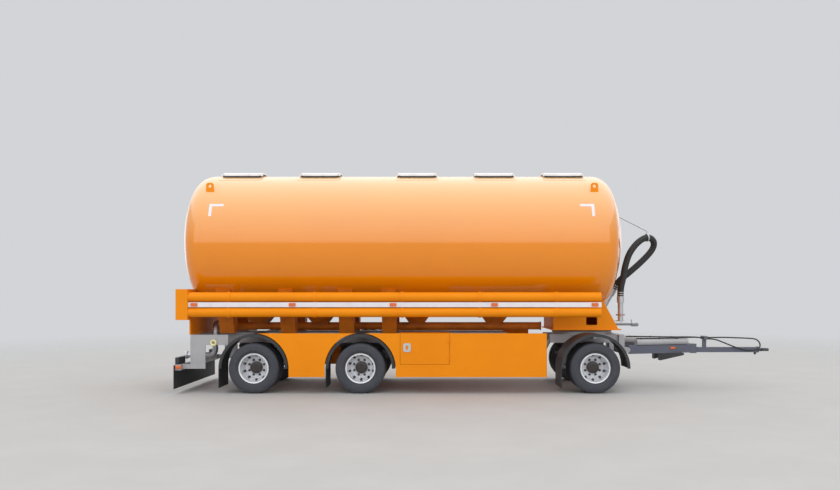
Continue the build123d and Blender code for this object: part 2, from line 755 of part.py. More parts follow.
with BuildPart() as chassis_frame:
    for side in SIDES.values():
        with BuildSketch(Plane.YZ.offset(bulkhead_rear)):
            with Locations((side * RAIL_Y, RAIL_TOP - RAIL_HEIGHT / 2)):
                Rectangle(RAIL_WEB, RAIL_HEIGHT)
            with Locations(
                (side * RAIL_Y, RAIL_TOP - RAIL_FLANGE / 2),
                (side * RAIL_Y, RAIL_BOTTOM + RAIL_FLANGE / 2),
            ):
                Rectangle(RAIL_WIDTH, RAIL_FLANGE)
        extrude(amount=RAIL_FRONT - bulkhead_rear)
        for outrigger_x, reach in OUTRIGGERS:
            block(
                (outrigger_x - CROSSMEMBER_WIDTH / 2, outrigger_x + CROSSMEMBER_WIDTH / 2),
                (side * RAIL_Y, side * reach),
                outrigger_z,
            )
        for axle_x in (REAR_AXLE_X, MIDDLE_AXLE_X):
            block(
                (axle_x - CARRIER_WIDTH / 2, axle_x + CARRIER_WIDTH / 2),
                (side * RAIL_Y, side * (GUARD_OUT_Y - GUARD_LIP)),
                (carrier_top - CARRIER_HEIGHT, carrier_top),
            )
            block(
                (axle_x + ARM_FRONT - HANGER_LENGTH, axle_x + ARM_FRONT),
                (side * (RAIL_Y - ARM_WIDTH / 2), side * (RAIL_Y + ARM_WIDTH / 2)),
                (ARM_PIVOT_Z + SEAT, RAIL_BOTTOM + RAIL_FLANGE / 2),
            )
        plate_y = (side * (REAR_PLATE_Y - REAR_PLATE_THICKNESS), side * REAR_PLATE_Y)
        block((REAR_BEAM_X, REAR_BEAM_X + STUB_LENGTH), plate_y, (RAIL_BOTTOM, RAIL_TOP - SEAT))
        block((REAR_BEAM_X, REAR_BEAM_X + REAR_PLATE_LENGTH), plate_y, (REAR_PLATE_BOTTOM, RAIL_TOP - SEAT))
    for cross_x in CROSSMEMBER_X:
        block(
            (cross_x - CROSSMEMBER_WIDTH / 2, cross_x + CROSSMEMBER_WIDTH / 2),
            (-RAIL_Y, RAIL_Y),
            outrigger_z,
        )
    block(
        (REAR_BEAM_X, REAR_BEAM_X + REAR_BEAM_LENGTH),
        (-REAR_PLATE_Y, REAR_PLATE_Y),
        (RAIL_BOTTOM, RAIL_TOP - SEAT),
    )
keep(chassis_frame, "chassis_frame")

# Rear bumper on two arms, the full-width rubber flap behind it and the lamp clusters on top
bumper_top = BUMPER_BOTTOM + BUMPER_HEIGHT
with BuildPart() as rear_bumper:
    block((BUMPER_X, BUMPER_X + BUMPER_LENGTH), (-BUMPER_Y, BUMPER_Y), (BUMPER_BOTTOM, bumper_top))
    for side in SIDES.values():
        block(
            (BUMPER_X + BUMPER_LENGTH, REAR_BEAM_X - SEAT),
            (side * (REAR_PLATE_Y - REAR_PLATE_THICKNESS), side * REAR_PLATE_Y),
            (REAR_PLATE_BOTTOM, bumper_top),
        )
keep(rear_bumper, "rear_bumper")

with BuildPart() as rear_flap:
    block(
        (BUMPER_X - SEAT - REAR_FLAP_THICKNESS, BUMPER_X - SEAT),
        (-REAR_FLAP_Y, REAR_FLAP_Y),
        (REAR_FLAP_BOTTOM, bumper_top - REAR_FLAP_THICKNESS),
    )
keep(rear_flap, "rear_flap")

with BuildPart() as rear_lamps:
    for side in SIDES.values():
        block(
            (BUMPER_X, BUMPER_X + REAR_LAMP_DEPTH),
            (side * REAR_LAMP_IN_Y, side * REAR_LAMP_OUT_Y),
            (bumper_top + SEAT, bumper_top + REAR_LAMP_HEIGHT),
        )
    fillet(rear_lamps.edges().filter_by(Axis.X), REAR_LAMP_HEIGHT / 8)
keep(rear_lamps, "rear_lamps")

# Side panels: one between the rear wheels, one from the middle wheel forward with the locker's doorway
door_hinge_y = PANEL_Y + DOOR_HINGE_PROUD
door_top_hinge = PANEL_TOP - 2 * DOOR_HINGE_LENGTH
door_low_hinge = DOOR_BOTTOM + 2 * DOOR_HINGE_LENGTH
with BuildPart() as side_panels:
    for side in SIDES.values():
        with BuildSketch(Plane.XZ.offset(-side * (PANEL_Y - PANEL_THICKNESS / 2))):
            for start_x, end_x in ((REAR_AXLE_X, MIDDLE_AXLE_X), (MIDDLE_AXLE_X, PANEL_FRONT)):
                with Locations(((start_x + end_x) / 2, (PANEL_TOP + PANEL_BOTTOM) / 2)):
                    Rectangle(end_x - start_x, PANEL_TOP - PANEL_BOTTOM)
            with Locations((REAR_AXLE_X, AXLE_Z), (MIDDLE_AXLE_X, AXLE_Z)):
                Circle(ARCH_R, mode=Mode.SUBTRACT)
                with Locations((0, -ARCH_R)):
                    Rectangle(2 * ARCH_R, 2 * ARCH_R, mode=Mode.SUBTRACT)
            with Locations(((DOOR_REAR + DOOR_FRONT) / 2, (PANEL_TOP + DOOR_BOTTOM) / 2)):
                Rectangle(DOOR_FRONT - DOOR_REAR, PANEL_TOP - DOOR_BOTTOM, mode=Mode.SUBTRACT)
        extrude(amount=PANEL_THICKNESS / 2, both=True)
        for hinge_z in (door_low_hinge, door_top_hinge):
            for ear_z in (hinge_z - DOOR_HINGE_LENGTH / 2, hinge_z + DOOR_HINGE_LENGTH / 2):
                ear = (ear_z - DOOR_HINGE_R, ear_z) if ear_z < hinge_z else (ear_z, ear_z + DOOR_HINGE_R)
                block(
                    (DOOR_FRONT, DOOR_FRONT + 4 * DOOR_HINGE_R),
                    (side * (PANEL_Y - DOOR_HINGE_PROUD), side * (door_hinge_y + DOOR_PIN_R)),
                    ear,
                )
                ear_line = [(DOOR_FRONT, side * door_hinge_y, z) for z in ear]
                bar(ear_line[0], ear_line[1], DOOR_HINGE_R)
            bar(
                (DOOR_FRONT, side * door_hinge_y, hinge_z - DOOR_HINGE_LENGTH / 2 - DOOR_HINGE_R),
                (DOOR_FRONT, side * door_hinge_y, hinge_z + DOOR_HINGE_LENGTH / 2 + DOOR_HINGE_R),
                DOOR_PIN_R,
            )
    nose_edges = side_panels.edges().filter_by(Axis.Z).group_by(Axis.X)[-1]
    outer_nose = [edge for edge in nose_edges if abs(edge.center().Y) > PANEL_Y - PANEL_THICKNESS / 2]
    fillet(outer_nose, PANEL_THICKNESS * 0.8)
keep(side_panels, "side_panels")

# Locker boxes behind the doorways, open to the side
with BuildPart() as locker_boxes:
    for side in SIDES.values():
        locker_z = (DOOR_BOTTOM - LOCKER_WALL, PANEL_TOP)
        block(
            (DOOR_REAR - LOCKER_WALL, DOOR_FRONT + LOCKER_WALL),
            (side * locker_in_y, side * (locker_in_y + LOCKER_DEPTH)),
            locker_z,
        )
        block(
            (DOOR_REAR, DOOR_FRONT),
            (side * (locker_in_y + LOCKER_WALL), side * (locker_in_y + LOCKER_DEPTH)),
            (locker_z[0] + LOCKER_WALL, locker_z[1] - LOCKER_WALL),
            Mode.SUBTRACT,
        )
keep(locker_boxes, "locker_boxes")

# Locker doors on vertical pins at their front edge, and their latches
for side_name, side in SIDES.items():
    with BuildPart() as locker_door:
        block(
            (DOOR_REAR + DOOR_GAP, DOOR_FRONT - DOOR_GAP),
            (side * (panel_in_y + SEAT), side * PANEL_Y),
            (DOOR_BOTTOM + DOOR_GAP, PANEL_TOP),
        )
        fillet(locker_door.edges().filter_by(Axis.Y), 3 * DOOR_GAP)
        for hinge_z in (door_low_hinge, door_top_hinge):
            knuckle = (hinge_z - DOOR_HINGE_LENGTH / 2 + DOOR_GAP, hinge_z + DOOR_HINGE_LENGTH / 2 - DOOR_GAP)
            block(
                (DOOR_FRONT - 4 * DOOR_HINGE_R, DOOR_FRONT),
                (side * PANEL_Y, side * (door_hinge_y + DOOR_PIN_R)),
                knuckle,
            )
            pin_line = [(DOOR_FRONT, side * door_hinge_y, z) for z in knuckle]
            bar(pin_line[0], pin_line[1], DOOR_HINGE_R)
            bar(pin_line[0], pin_line[1], DOOR_PIN_R + SPINDLE_PLAY, Mode.SUBTRACT)
    keep(locker_door, f"locker_door_{side_name}")

    with BuildPart() as locker_latch:
        with BuildSketch(Plane.XZ.offset(-side * (PANEL_Y + SEAT + LATCH_PROUD / 2))):
            with Locations((LATCH_X, LATCH_Z)):
                RectangleRounded(LATCH_LENGTH, LATCH_HEIGHT, LATCH_LENGTH / 4)
                SlotOverall(LATCH_HEIGHT / 2, LATCH_LENGTH / 3, rotation=90, mode=Mode.SUBTRACT)
        extrude(amount=LATCH_PROUD / 2, both=True)
    keep(locker_latch, f"locker_latch_{side_name}")


# One half-round mudguard with an outer lip and a flap behind the wheel
def mudguard(axle_x, side):
    guard_in_r = GUARD_R - GUARD_SKIN
    for depth, y_span in (
        (GUARD_SKIN, (GUARD_IN_Y, GUARD_OUT_Y)),
        (GUARD_LIP, (GUARD_OUT_Y - GUARD_SKIN, GUARD_OUT_Y)),
    ):
        with BuildSketch(Plane.XZ.offset(-side * (y_span[0] + y_span[1]) / 2)) as hoop:
            with Locations((axle_x, AXLE_Z)):
                Circle(GUARD_R)
                Circle(GUARD_R - depth, mode=Mode.SUBTRACT)
                with Locations((0, -GUARD_R)):
                    Rectangle(2 * GUARD_R, 2 * GUARD_R, mode=Mode.SUBTRACT)
        extrude(hoop.sketch, amount=(y_span[1] - y_span[0]) / 2, both=True)
    block(
        (axle_x - GUARD_R, axle_x - guard_in_r),
        (side * GUARD_IN_Y, side * GUARD_OUT_Y),
        (FLAP_BOTTOM, AXLE_Z),
    )


with BuildPart() as mudguards:
    for side in SIDES.values():
        for axle_x in (REAR_AXLE_X, MIDDLE_AXLE_X):
            mudguard(axle_x, side)
keep(mudguards, "mudguards")

with BuildPart() as dolly_mudguards:
    for side in SIDES.values():
        mudguard(FRONT_AXLE_X, side)
keep(dolly_mudguards, "dolly_mudguards")


# An axle tube with the spindles that carry the hubs
def axle(axle_x):
    drum_face = WHEEL_Y - DRUM_DEPTH
    spindle_end = WHEEL_Y - DISC_THICKNESS - DOOR_GAP
    bar((axle_x, -drum_face + 2 * DOOR_GAP, AXLE_Z), (axle_x, drum_face - 2 * DOOR_GAP, AXLE_Z), AXLE_R)
    bar((axle_x, -spindle_end, AXLE_Z), (axle_x, spindle_end, AXLE_Z), SPINDLE_R)


# A trailing arm over the axle, from its hanger to the air spring's seat
def trailing_arm(axle_x, arm_y):
    axle_top = AXLE_Z + AXLE_R + SEAT
    side_plate(
        (
            (axle_x + ARM_FRONT, ARM_PIVOT_Z),
            (axle_x + ARM_FRONT, ARM_PIVOT_Z - ARM_DEPTH),
            (axle_x + AXLE_R, axle_top),
            (axle_x - AXLE_R, axle_top),
            (axle_x - ARM_REAR, ARM_SEAT_Z - ARM_DEPTH / 2),
            (axle_x - ARM_REAR, ARM_SEAT_Z),
            (axle_x - SPRING_X + SPRING_R, ARM_SEAT_Z),
            (axle_x - AXLE_R, axle_top + ARM_DEPTH),
            (axle_x + AXLE_R, axle_top + ARM_DEPTH),
            (axle_x + ARM_FRONT - HANGER_LENGTH, ARM_PIVOT_Z),
        ),
        (arm_y - ARM_WIDTH / 2, arm_y + ARM_WIDTH / 2),
    )


# An air spring's bellows between arm and beam: two lobes round a waist
def air_spring(axle_x, arm_y, beam_bottom):
    low = ARM_SEAT_Z + SEAT
    high = beam_bottom - SEAT
    lobe = (high - low) / 2
    with BuildSketch(Plane(origin=(axle_x - SPRING_X, arm_y, 0), x_dir=(1, 0, 0), z_dir=(0, -1, 0))) as half:
        with BuildLine():
            Line((0, low), (SPRING_R * 0.75, low))
            ThreePointArc((SPRING_R * 0.75, low), (SPRING_R, low + lobe / 2), (SPRING_R * 0.75, low + lobe))
            ThreePointArc((SPRING_R * 0.75, low + lobe), (SPRING_R, high - lobe / 2), (SPRING_R * 0.75, high))
            Line((SPRING_R * 0.75, high), (0, high))
            Line((0, high), (0, low))
        make_face()
    revolve(half.sketch, axis=Axis((axle_x - SPRING_X, arm_y, 0), (0, 0, 1)))


with BuildPart() as rear_axles:
    for axle_x in (REAR_AXLE_X, MIDDLE_AXLE_X):
        axle(axle_x)
keep(rear_axles, "rear_axles")

with BuildPart() as dolly_axle:
    axle(FRONT_AXLE_X)
keep(dolly_axle, "dolly_axle")

with BuildPart() as suspension_arms:
    for side in SIDES.values():
        for axle_x in (REAR_AXLE_X, MIDDLE_AXLE_X):
            trailing_arm(axle_x, side * RAIL_Y)
keep(suspension_arms, "suspension_arms")

with BuildPart() as dolly_arms:
    for side in SIDES.values():
        trailing_arm(FRONT_AXLE_X, side * DOLLY_BEAM_Y)
keep(dolly_arms, "dolly_arms")

with BuildPart() as air_springs:
    for side in SIDES.values():
        for axle_x in (REAR_AXLE_X, MIDDLE_AXLE_X):
            air_spring(axle_x, side * RAIL_Y, RAIL_BOTTOM)
keep(air_springs, "air_springs")

with BuildPart() as dolly_air_springs:
    for side in SIDES.values():
        air_spring(FRONT_AXLE_X, side * DOLLY_BEAM_Y, DOLLY_BEAM_BOTTOM)
keep(dolly_air_springs, "dolly_air_springs")

# Compressed-air tanks slung under the rails
with BuildPart() as air_tanks:
    for side in SIDES.values():
        tank_z = RAIL_BOTTOM - SEAT - AIR_TANK_R
        bar((AIR_TANK_REAR, side * RAIL_Y, tank_z), (AIR_TANK_FRONT, side * RAIL_Y, tank_z), AIR_TANK_R)
    fillet(air_tanks.edges().filter_by(GeomType.CIRCLE), AIR_TANK_R / 2)
keep(air_tanks, "air_tanks")

# Rear outlet: a domed end on the discharge line, and a pipe down to a coupling at the back with a lever valve
dome_x = DISCHARGE_REAR - SEAT - END_DOME_NECK
with BuildPart() as rear_outlet:
    with Locations((dome_x, 0, DISCHARGE_Z)):
        Sphere(END_DOME_R)
    split(bisect_by=Plane(origin=(DISCHARGE_REAR - SEAT, 0, 0), z_dir=(-1, 0, 0)), keep=Keep.TOP)
    bar((dome_x, 0, DISCHARGE_Z), (DISCHARGE_REAR - SEAT, 0, DISCHARGE_Z), DISCHARGE_FLANGE_R)
    tube_along(
        (
            (OUTLET_END_X, OUTLET_PIPE_Y, OUTLET_PIPE_Z),
            (OUTLET_RISER_X, OUTLET_PIPE_Y, OUTLET_PIPE_Z),
            (OUTLET_RISER_X, OUTLET_PIPE_Y, DISCHARGE_Z),
            (OUTLET_RISER_X, -DISCHARGE_R - SEAT, DISCHARGE_Z),
        ),
        (OUTLET_BEND_R, OUTLET_BEND_R),
        OUTLET_PIPE_R,
    )
    coupling_front = OUTLET_END_X + OUTLET_COUPLING_LENGTH
    bar(
        (OUTLET_END_X, OUTLET_PIPE_Y, OUTLET_PIPE_Z),
        (coupling_front, OUTLET_PIPE_Y, OUTLET_PIPE_Z),
        OUTLET_COUPLING_R,
    )
    bar(
        (VALVE_X - VALVE_LENGTH / 2, OUTLET_PIPE_Y, OUTLET_PIPE_Z),
        (VALVE_X + VALVE_LENGTH / 2, OUTLET_PIPE_Y, OUTLET_PIPE_Z),
        VALVE_R,
    )
    block(
        (VALVE_X - LEVER_SIDE / 2, VALVE_X + LEVER_SIDE / 2),
        (OUTLET_PIPE_Y - LEVER_SIDE / 2, OUTLET_PIPE_Y + LEVER_SIDE / 2),
        (OUTLET_PIPE_Z, LEVER_TOP),
    )
    block(
        (REAR_BEAM_X + OUTLET_STRAP / 2, REAR_BEAM_X + OUTLET_STRAP * 3 / 2),
        (OUTLET_PIPE_Y - OUTLET_STRAP / 2, OUTLET_PIPE_Y + OUTLET_STRAP / 2),
        (OUTLET_PIPE_Z, RAIL_BOTTOM - SEAT),
    )
keep(rear_outlet, "rear_outlet")

# Front pedestal: side plates with windows, a sloped front, a rear plate and a bottom flange
slope = (PEDESTAL_FRONT - PEDESTAL_FRONT_TOP) / (PEDESTAL_SLOPE_TOP_Z - PEDESTAL_FLANGE_Z)
flange_top = PEDESTAL_FLANGE_Z + PEDESTAL_FLANGE_THICKNESS
with BuildPart() as front_pedestal:
    for side in SIDES.values():
        cheek_y = (side * (PEDESTAL_Y - PEDESTAL_WALL), side * PEDESTAL_Y)
        side_plate(
            (
                (PEDESTAL_REAR, PEDESTAL_FLANGE_Z),
                (PEDESTAL_FRONT, PEDESTAL_FLANGE_Z),
                (PEDESTAL_FRONT_TOP, PEDESTAL_SLOPE_TOP_Z),
                (PEDESTAL_FRONT_TOP, TANK_Z - TANK_R / 2),
                (PEDESTAL_REAR, TANK_Z - TANK_R / 2),
            ),
            cheek_y,
        )
        with BuildSketch(Plane.XZ.offset(-side * (PEDESTAL_Y - PEDESTAL_WALL / 2))):
            with Locations(((WINDOW_REAR + WINDOW_FRONT) / 2, (WINDOW_BOTTOM + WINDOW_TOP) / 2)):
                RectangleRounded(WINDOW_FRONT - WINDOW_REAR, WINDOW_TOP - WINDOW_BOTTOM, PEDESTAL_WALL)
        extrude(amount=PEDESTAL_WALL, both=True, mode=Mode.SUBTRACT)
    side_plate(
        (
            (PEDESTAL_FRONT, PEDESTAL_FLANGE_Z),
            (PEDESTAL_FRONT_TOP, PEDESTAL_SLOPE_TOP_Z),
            (PEDESTAL_FRONT_TOP - PEDESTAL_WALL, PEDESTAL_SLOPE_TOP_Z),
            (PEDESTAL_FRONT - PEDESTAL_WALL, PEDESTAL_FLANGE_Z),
        ),
        (-PEDESTAL_Y, PEDESTAL_Y),
    )
    block(
        (PEDESTAL_REAR, PEDESTAL_REAR + PEDESTAL_WALL),
        (-PEDESTAL_Y, PEDESTAL_Y),
        (PEDESTAL_FLANGE_Z, TANK_Z - TANK_R / 2),
    )
    block(
        (PEDESTAL_REAR - PEDESTAL_LEDGE, PEDESTAL_FRONT + PEDESTAL_LEDGE),
        (-PEDESTAL_FLANGE_Y, PEDESTAL_FLANGE_Y),
        (PEDESTAL_FLANGE_Z, flange_top),
    )
    add(tank_envelope.part, mode=Mode.SUBTRACT)
keep(front_pedestal, "front_pedestal")

# Upper race of the turntable, bolted under the pedestal's flange
with BuildPart() as turntable_race:
    with BuildSketch(Plane.XY.offset(RACE_SPLIT_Z + SEAT)):
        with Locations((FRONT_AXLE_X, 0)):
            Circle(RACE_R)
            Circle(RACE_BORE_R, mode=Mode.SUBTRACT)
    extrude(amount=PEDESTAL_FLANGE_Z - RACE_SPLIT_Z - 2 * SEAT)
keep(turntable_race, "turntable_race")

# Dolly frame: two beams and crossmembers under the lower race, with hangers, carriers and hinge cheeks
beam_top = DOLLY_BEAM_BOTTOM + DOLLY_BEAM_HEIGHT
cheek_in = HINGE_Y - KNUCKLE_WIDTH / 2 - CHEEK_GAP
cheek_out = HINGE_Y + KNUCKLE_WIDTH / 2 + CHEEK_GAP
with BuildPart() as dolly_frame:
    for side in SIDES.values():
        block(
            (DOLLY_REAR, DOLLY_FRONT),
            (side * (DOLLY_BEAM_Y - DOLLY_BEAM_WIDTH / 2), side * (DOLLY_BEAM_Y + DOLLY_BEAM_WIDTH / 2)),
            (DOLLY_BEAM_BOTTOM, beam_top),
        )
        block(
            (FRONT_AXLE_X + ARM_FRONT - HANGER_LENGTH, FRONT_AXLE_X + ARM_FRONT),
            (side * (DOLLY_BEAM_Y - ARM_WIDTH / 2), side * (DOLLY_BEAM_Y + ARM_WIDTH / 2)),
            (ARM_PIVOT_Z + SEAT, DOLLY_BEAM_BOTTOM),
        )
        block(
            (FRONT_AXLE_X - CARRIER_WIDTH / 2, FRONT_AXLE_X + CARRIER_WIDTH / 2),
            (side * DOLLY_BEAM_Y, side * (GUARD_OUT_Y - GUARD_LIP)),
            (beam_top - CARRIER_HEIGHT, carrier_top),
        )
        for cheek_y in (
            (cheek_in - CHEEK_THICKNESS, cheek_in),
            (cheek_out, cheek_out + CHEEK_THICKNESS),
        ):
            cheek_span = (side * cheek_y[0], side * cheek_y[1])
            block((DOLLY_FRONT - CHEEK_R, HINGE_X), cheek_span, (HINGE_Z - CHEEK_R, HINGE_Z + CHEEK_R))
            bar((HINGE_X, cheek_span[0], HINGE_Z), (HINGE_X, cheek_span[1], HINGE_Z), CHEEK_R)
        bar(
            (HINGE_X, side * (cheek_in - CHEEK_THICKNESS), HINGE_Z),
            (HINGE_X, side * (cheek_out + CHEEK_THICKNESS), HINGE_Z),
            HINGE_PIN_R,
        )
    block(
        (DOLLY_FRONT - DOLLY_NOSE_LENGTH, DOLLY_FRONT),
        (-DOLLY_NOSE_Y, DOLLY_NOSE_Y),
        (DOLLY_NOSE_BOTTOM, beam_top),
    )
    for cross_x in DOLLY_CROSS_X:
        block(
            (cross_x - CROSSMEMBER_WIDTH / 2, cross_x + CROSSMEMBER_WIDTH / 2),
            (-DOLLY_BEAM_Y, DOLLY_BEAM_Y),
            (beam_top - CROSSMEMBER_HEIGHT, beam_top),
        )
    with BuildSketch(Plane.XY.offset(beam_top - RAIL_FLANGE)):
        with Locations((FRONT_AXLE_X, 0)):
            Circle(RACE_R)
            Circle(RACE_BORE_R, mode=Mode.SUBTRACT)
    extrude(amount=RACE_SPLIT_Z - beam_top + RAIL_FLANGE)
keep(dolly_frame, "dolly_frame")

# Drawbar frame: a flat A of two box arms with hinge knuckles, a clamp collar and the nose pole
arm_bottom = HINGE_Z - DRAWBAR_ARM_HEIGHT / 2
arm_top = HINGE_Z + DRAWBAR_ARM_HEIGHT / 2
arm_out = HINGE_Y + DRAWBAR_ARM_WIDTH / 2
arm_in = HINGE_Y - DRAWBAR_ARM_WIDTH / 2
arm_slope = (arm_out - ARM_END_Y) / (ARM_END_X - ARM_START_X)
crotch_y = ARM_END_Y * 0.6
crotch_x = ARM_START_X + (arm_in - crotch_y) / arm_slope
with BuildPart() as drawbar_frame:
    with BuildSketch(Plane.XY.offset(arm_bottom)):
        with BuildLine():
            Polyline(
                (ARM_START_X, -arm_out), (ARM_END_X, -ARM_END_Y),
                (ARM_END_X, ARM_END_Y), (ARM_START_X, arm_out),
                (ARM_START_X, arm_in), (crotch_x, crotch_y),
                (crotch_x, -crotch_y), (ARM_START_X, -arm_in), close=True,
            )
        make_face()
    extrude(amount=DRAWBAR_ARM_HEIGHT)
    for side in SIDES.values():
        block(
            (HINGE_X, ARM_START_X),
            (side * arm_in, side * arm_out),
            (HINGE_Z - KNUCKLE_OUTER_R, HINGE_Z + KNUCKLE_OUTER_R),
        )
        knuckle = [(HINGE_X, side * (HINGE_Y + y), HINGE_Z) for y in (-KNUCKLE_WIDTH / 2, KNUCKLE_WIDTH / 2)]
        bar(knuckle[0], knuckle[1], KNUCKLE_OUTER_R)
        bar(knuckle[0], knuckle[1], HINGE_PIN_R + HINGE_PLAY, Mode.SUBTRACT)
    block(
        (ARM_END_X, POLE_END_X),
        (-POLE_WIDTH / 2, POLE_WIDTH / 2),
        (POLE_Z - POLE_HEIGHT / 2, POLE_Z + POLE_HEIGHT / 2),
    )
    block(
        (ARM_END_X - COLLAR_LENGTH / 2, ARM_END_X + COLLAR_LENGTH / 2),
        (-ARM_END_Y - COLLAR_PROUD, ARM_END_Y + COLLAR_PROUD),
        (arm_bottom - COLLAR_PROUD, arm_top + COLLAR_PROUD),
    )
keep(drawbar_frame, "drawbar_frame")

# Drawbar eye: a flat ring on a shank, bolted to the pole's end plate
eye_x = EYE_FRONT_X - EYE_R
with BuildPart() as drawbar_eye:
    with BuildSketch(Plane.XY.offset(POLE_Z - EYE_THICKNESS / 2)):
        with Locations((eye_x, 0)):
            Circle(EYE_R)
    extrude(amount=EYE_THICKNESS)
    bar((POLE_END_X + SEAT, 0, POLE_Z), (eye_x - (EYE_R + EYE_BORE_R) / 2, 0, POLE_Z), EYE_SHANK_R)
    bar((POLE_END_X + SEAT, 0, POLE_Z), (POLE_END_X + EYE_PLATE_THICKNESS, 0, POLE_Z), EYE_PLATE_R)
    bar((eye_x, 0, POLE_Z - EYE_THICKNESS), (eye_x, 0, POLE_Z + EYE_THICKNESS), EYE_BORE_R, Mode.SUBTRACT)
keep(drawbar_eye, "drawbar_eye")

# Hose post on the pole, with a cross head that parks the couplings
pole_top = POLE_Z + POLE_HEIGHT / 2
with BuildPart() as hose_post:
    block(
        (POST_X - POST_SIDE / 2, POST_X + POST_SIDE / 2),
        (-POST_SIDE / 2, POST_SIDE / 2),
        (pole_top + SEAT, POST_TOP),
    )
    block(
        (POST_X - POST_SIDE / 2, POST_X + POST_SIDE / 2),
        (-POST_HEAD_Y, POST_HEAD_Y),
        (POST_TOP - POST_HEAD_HEIGHT, POST_TOP),
    )
keep(hose_post, "hose_post")

# Pipes along the top of both drawbar arms
with BuildPart() as drawbar_pipes:
    for side in SIDES.values():
        ends = [
            (x, side * (HINGE_Y - arm_slope * (x - ARM_START_X)), arm_top + SEAT + TOP_PIPE_R)
            for x in (TOP_PIPE_START, TOP_PIPE_END)
        ]
        bar(ends[0], ends[1], TOP_PIPE_R)
keep(drawbar_pipes, "drawbar_pipes")

# Wheel chocks hung under the arms
with BuildPart() as wheel_chocks:
    chock_top = arm_bottom - SEAT
    for side in SIDES.values():
        side_plate(
            (
                (CHOCK_REAR, chock_top),
                (CHOCK_FRONT, chock_top),
                (CHOCK_FRONT, chock_top - CHOCK_NOSE),
                (CHOCK_REAR, chock_top - CHOCK_DEPTH),
            ),
            (side * CHOCK_IN_Y, side * CHOCK_OUT_Y),
        )
keep(wheel_chocks, "wheel_chocks")

# Drawbar cable: a loop out of the post's head and back
cable_radii = bend_radii(CABLE_ROUTE)
print("drawbar_cable radii", [round(radius) for radius in cable_radii])
with BuildPart() as drawbar_cable:
    tube_along(CABLE_ROUTE, cable_radii, CABLE_R)
keep(drawbar_cable, "drawbar_cable")

# Front pipework: a tilted pipe and an upright one with a low branch, both out of the sloped plate
slope_plane = Plane(
    origin=(PEDESTAL_FRONT + SEAT, 0, PEDESTAL_FLANGE_Z), x_dir=(0, 1, 0), z_dir=(1, 0, slope)
)
pipe_a_run = (Vector(*HOSE_ROUTE[1]) - Vector(*HOSE_ROUTE[0])).normalized()
pipe_a_end = Vector(*HOSE_ROUTE[0]) - pipe_a_run * SEAT
PIPE_B_X, PIPE_B_Y, hose_end_z = HOSE_ROUTE[-1]
PIPE_B_TOP = hose_end_z - SEAT
with BuildPart() as front_pipework:
    bar(pipe_a_end - pipe_a_run * TANK_R / 2, pipe_a_end, PIPE_R)
    bar(pipe_a_end - pipe_a_run * COUPLING_LENGTH, pipe_a_end, COUPLING_R)
    bar((PIPE_B_X, PIPE_B_Y, PIPE_LOW_Z), (PIPE_B_X, PIPE_B_Y, PIPE_B_TOP), PIPE_R)
    bar((PIPE_B_X, PIPE_B_Y, PIPE_B_TOP - COUPLING_LENGTH), (PIPE_B_X, PIPE_B_Y, PIPE_B_TOP), COUPLING_R)
    bar(
        (PIPE_B_X, PIPE_B_Y, PIPE_FLANGE_Z - PIPE_R / 4),
        (PIPE_B_X, PIPE_B_Y, PIPE_FLANGE_Z + PIPE_R / 4),
        PIPE_R * 1.6,
    )
    bar((PEDESTAL_FRONT_TOP, PIPE_B_Y, PIPE_LOW_Z), (PIPE_LOW_END, PIPE_B_Y, PIPE_LOW_Z), PIPE_R)
    bar(
        (PIPE_LOW_END - COUPLING_LENGTH, PIPE_B_Y, PIPE_LOW_Z),
        (PIPE_LOW_END, PIPE_B_Y, PIPE_LOW_Z),
        COUPLING_R,
    )
    split(bisect_by=slope_plane, keep=Keep.TOP)
keep(front_pipework, "front_pipework")

# Transfer hose between the two couplings, hung over the stay
hose_radii = bend_radii(HOSE_ROUTE)
print("transfer_hose radii", [round(radius) for radius in hose_radii])
with BuildPart() as transfer_hose:
    tube_along(HOSE_ROUTE, hose_radii, HOSE_R)
keep(transfer_hose, "transfer_hose")

# Hose stay: a rod out of the front head with a ring that holds the top of the loop
dish_x = BARREL_FRONT + HEAD_DEPTH - DISH_R
stay_foot = (dish_x + sqrt((DISH_R + SEAT) ** 2 - (STAY_FOOT_Z - TANK_Z) ** 2), 0, STAY_FOOT_Z)
ring_run = Vector(*HOSE_ROUTE[8]) - Vector(*HOSE_ROUTE[7])
ring_centre = (Vector(*HOSE_ROUTE[8]) + Vector(*HOSE_ROUTE[7])) * 0.5
with BuildPart() as hose_stay:
    bar((stay_foot[0] - STAY_R, 0, STAY_FOOT_Z), STAY_BEND, STAY_R)
    bar(STAY_BEND, ring_centre, STAY_R)
    with Locations(Plane(origin=ring_centre, z_dir=ring_run)):
        Cylinder(COLLAR_RING_R, 2 * STAY_R)
        Cylinder(HOSE_R + 3, 3 * HOSE_R, mode=Mode.SUBTRACT)
    add(tank_envelope.part, mode=Mode.SUBTRACT)
keep(hose_stay, "hose_stay")

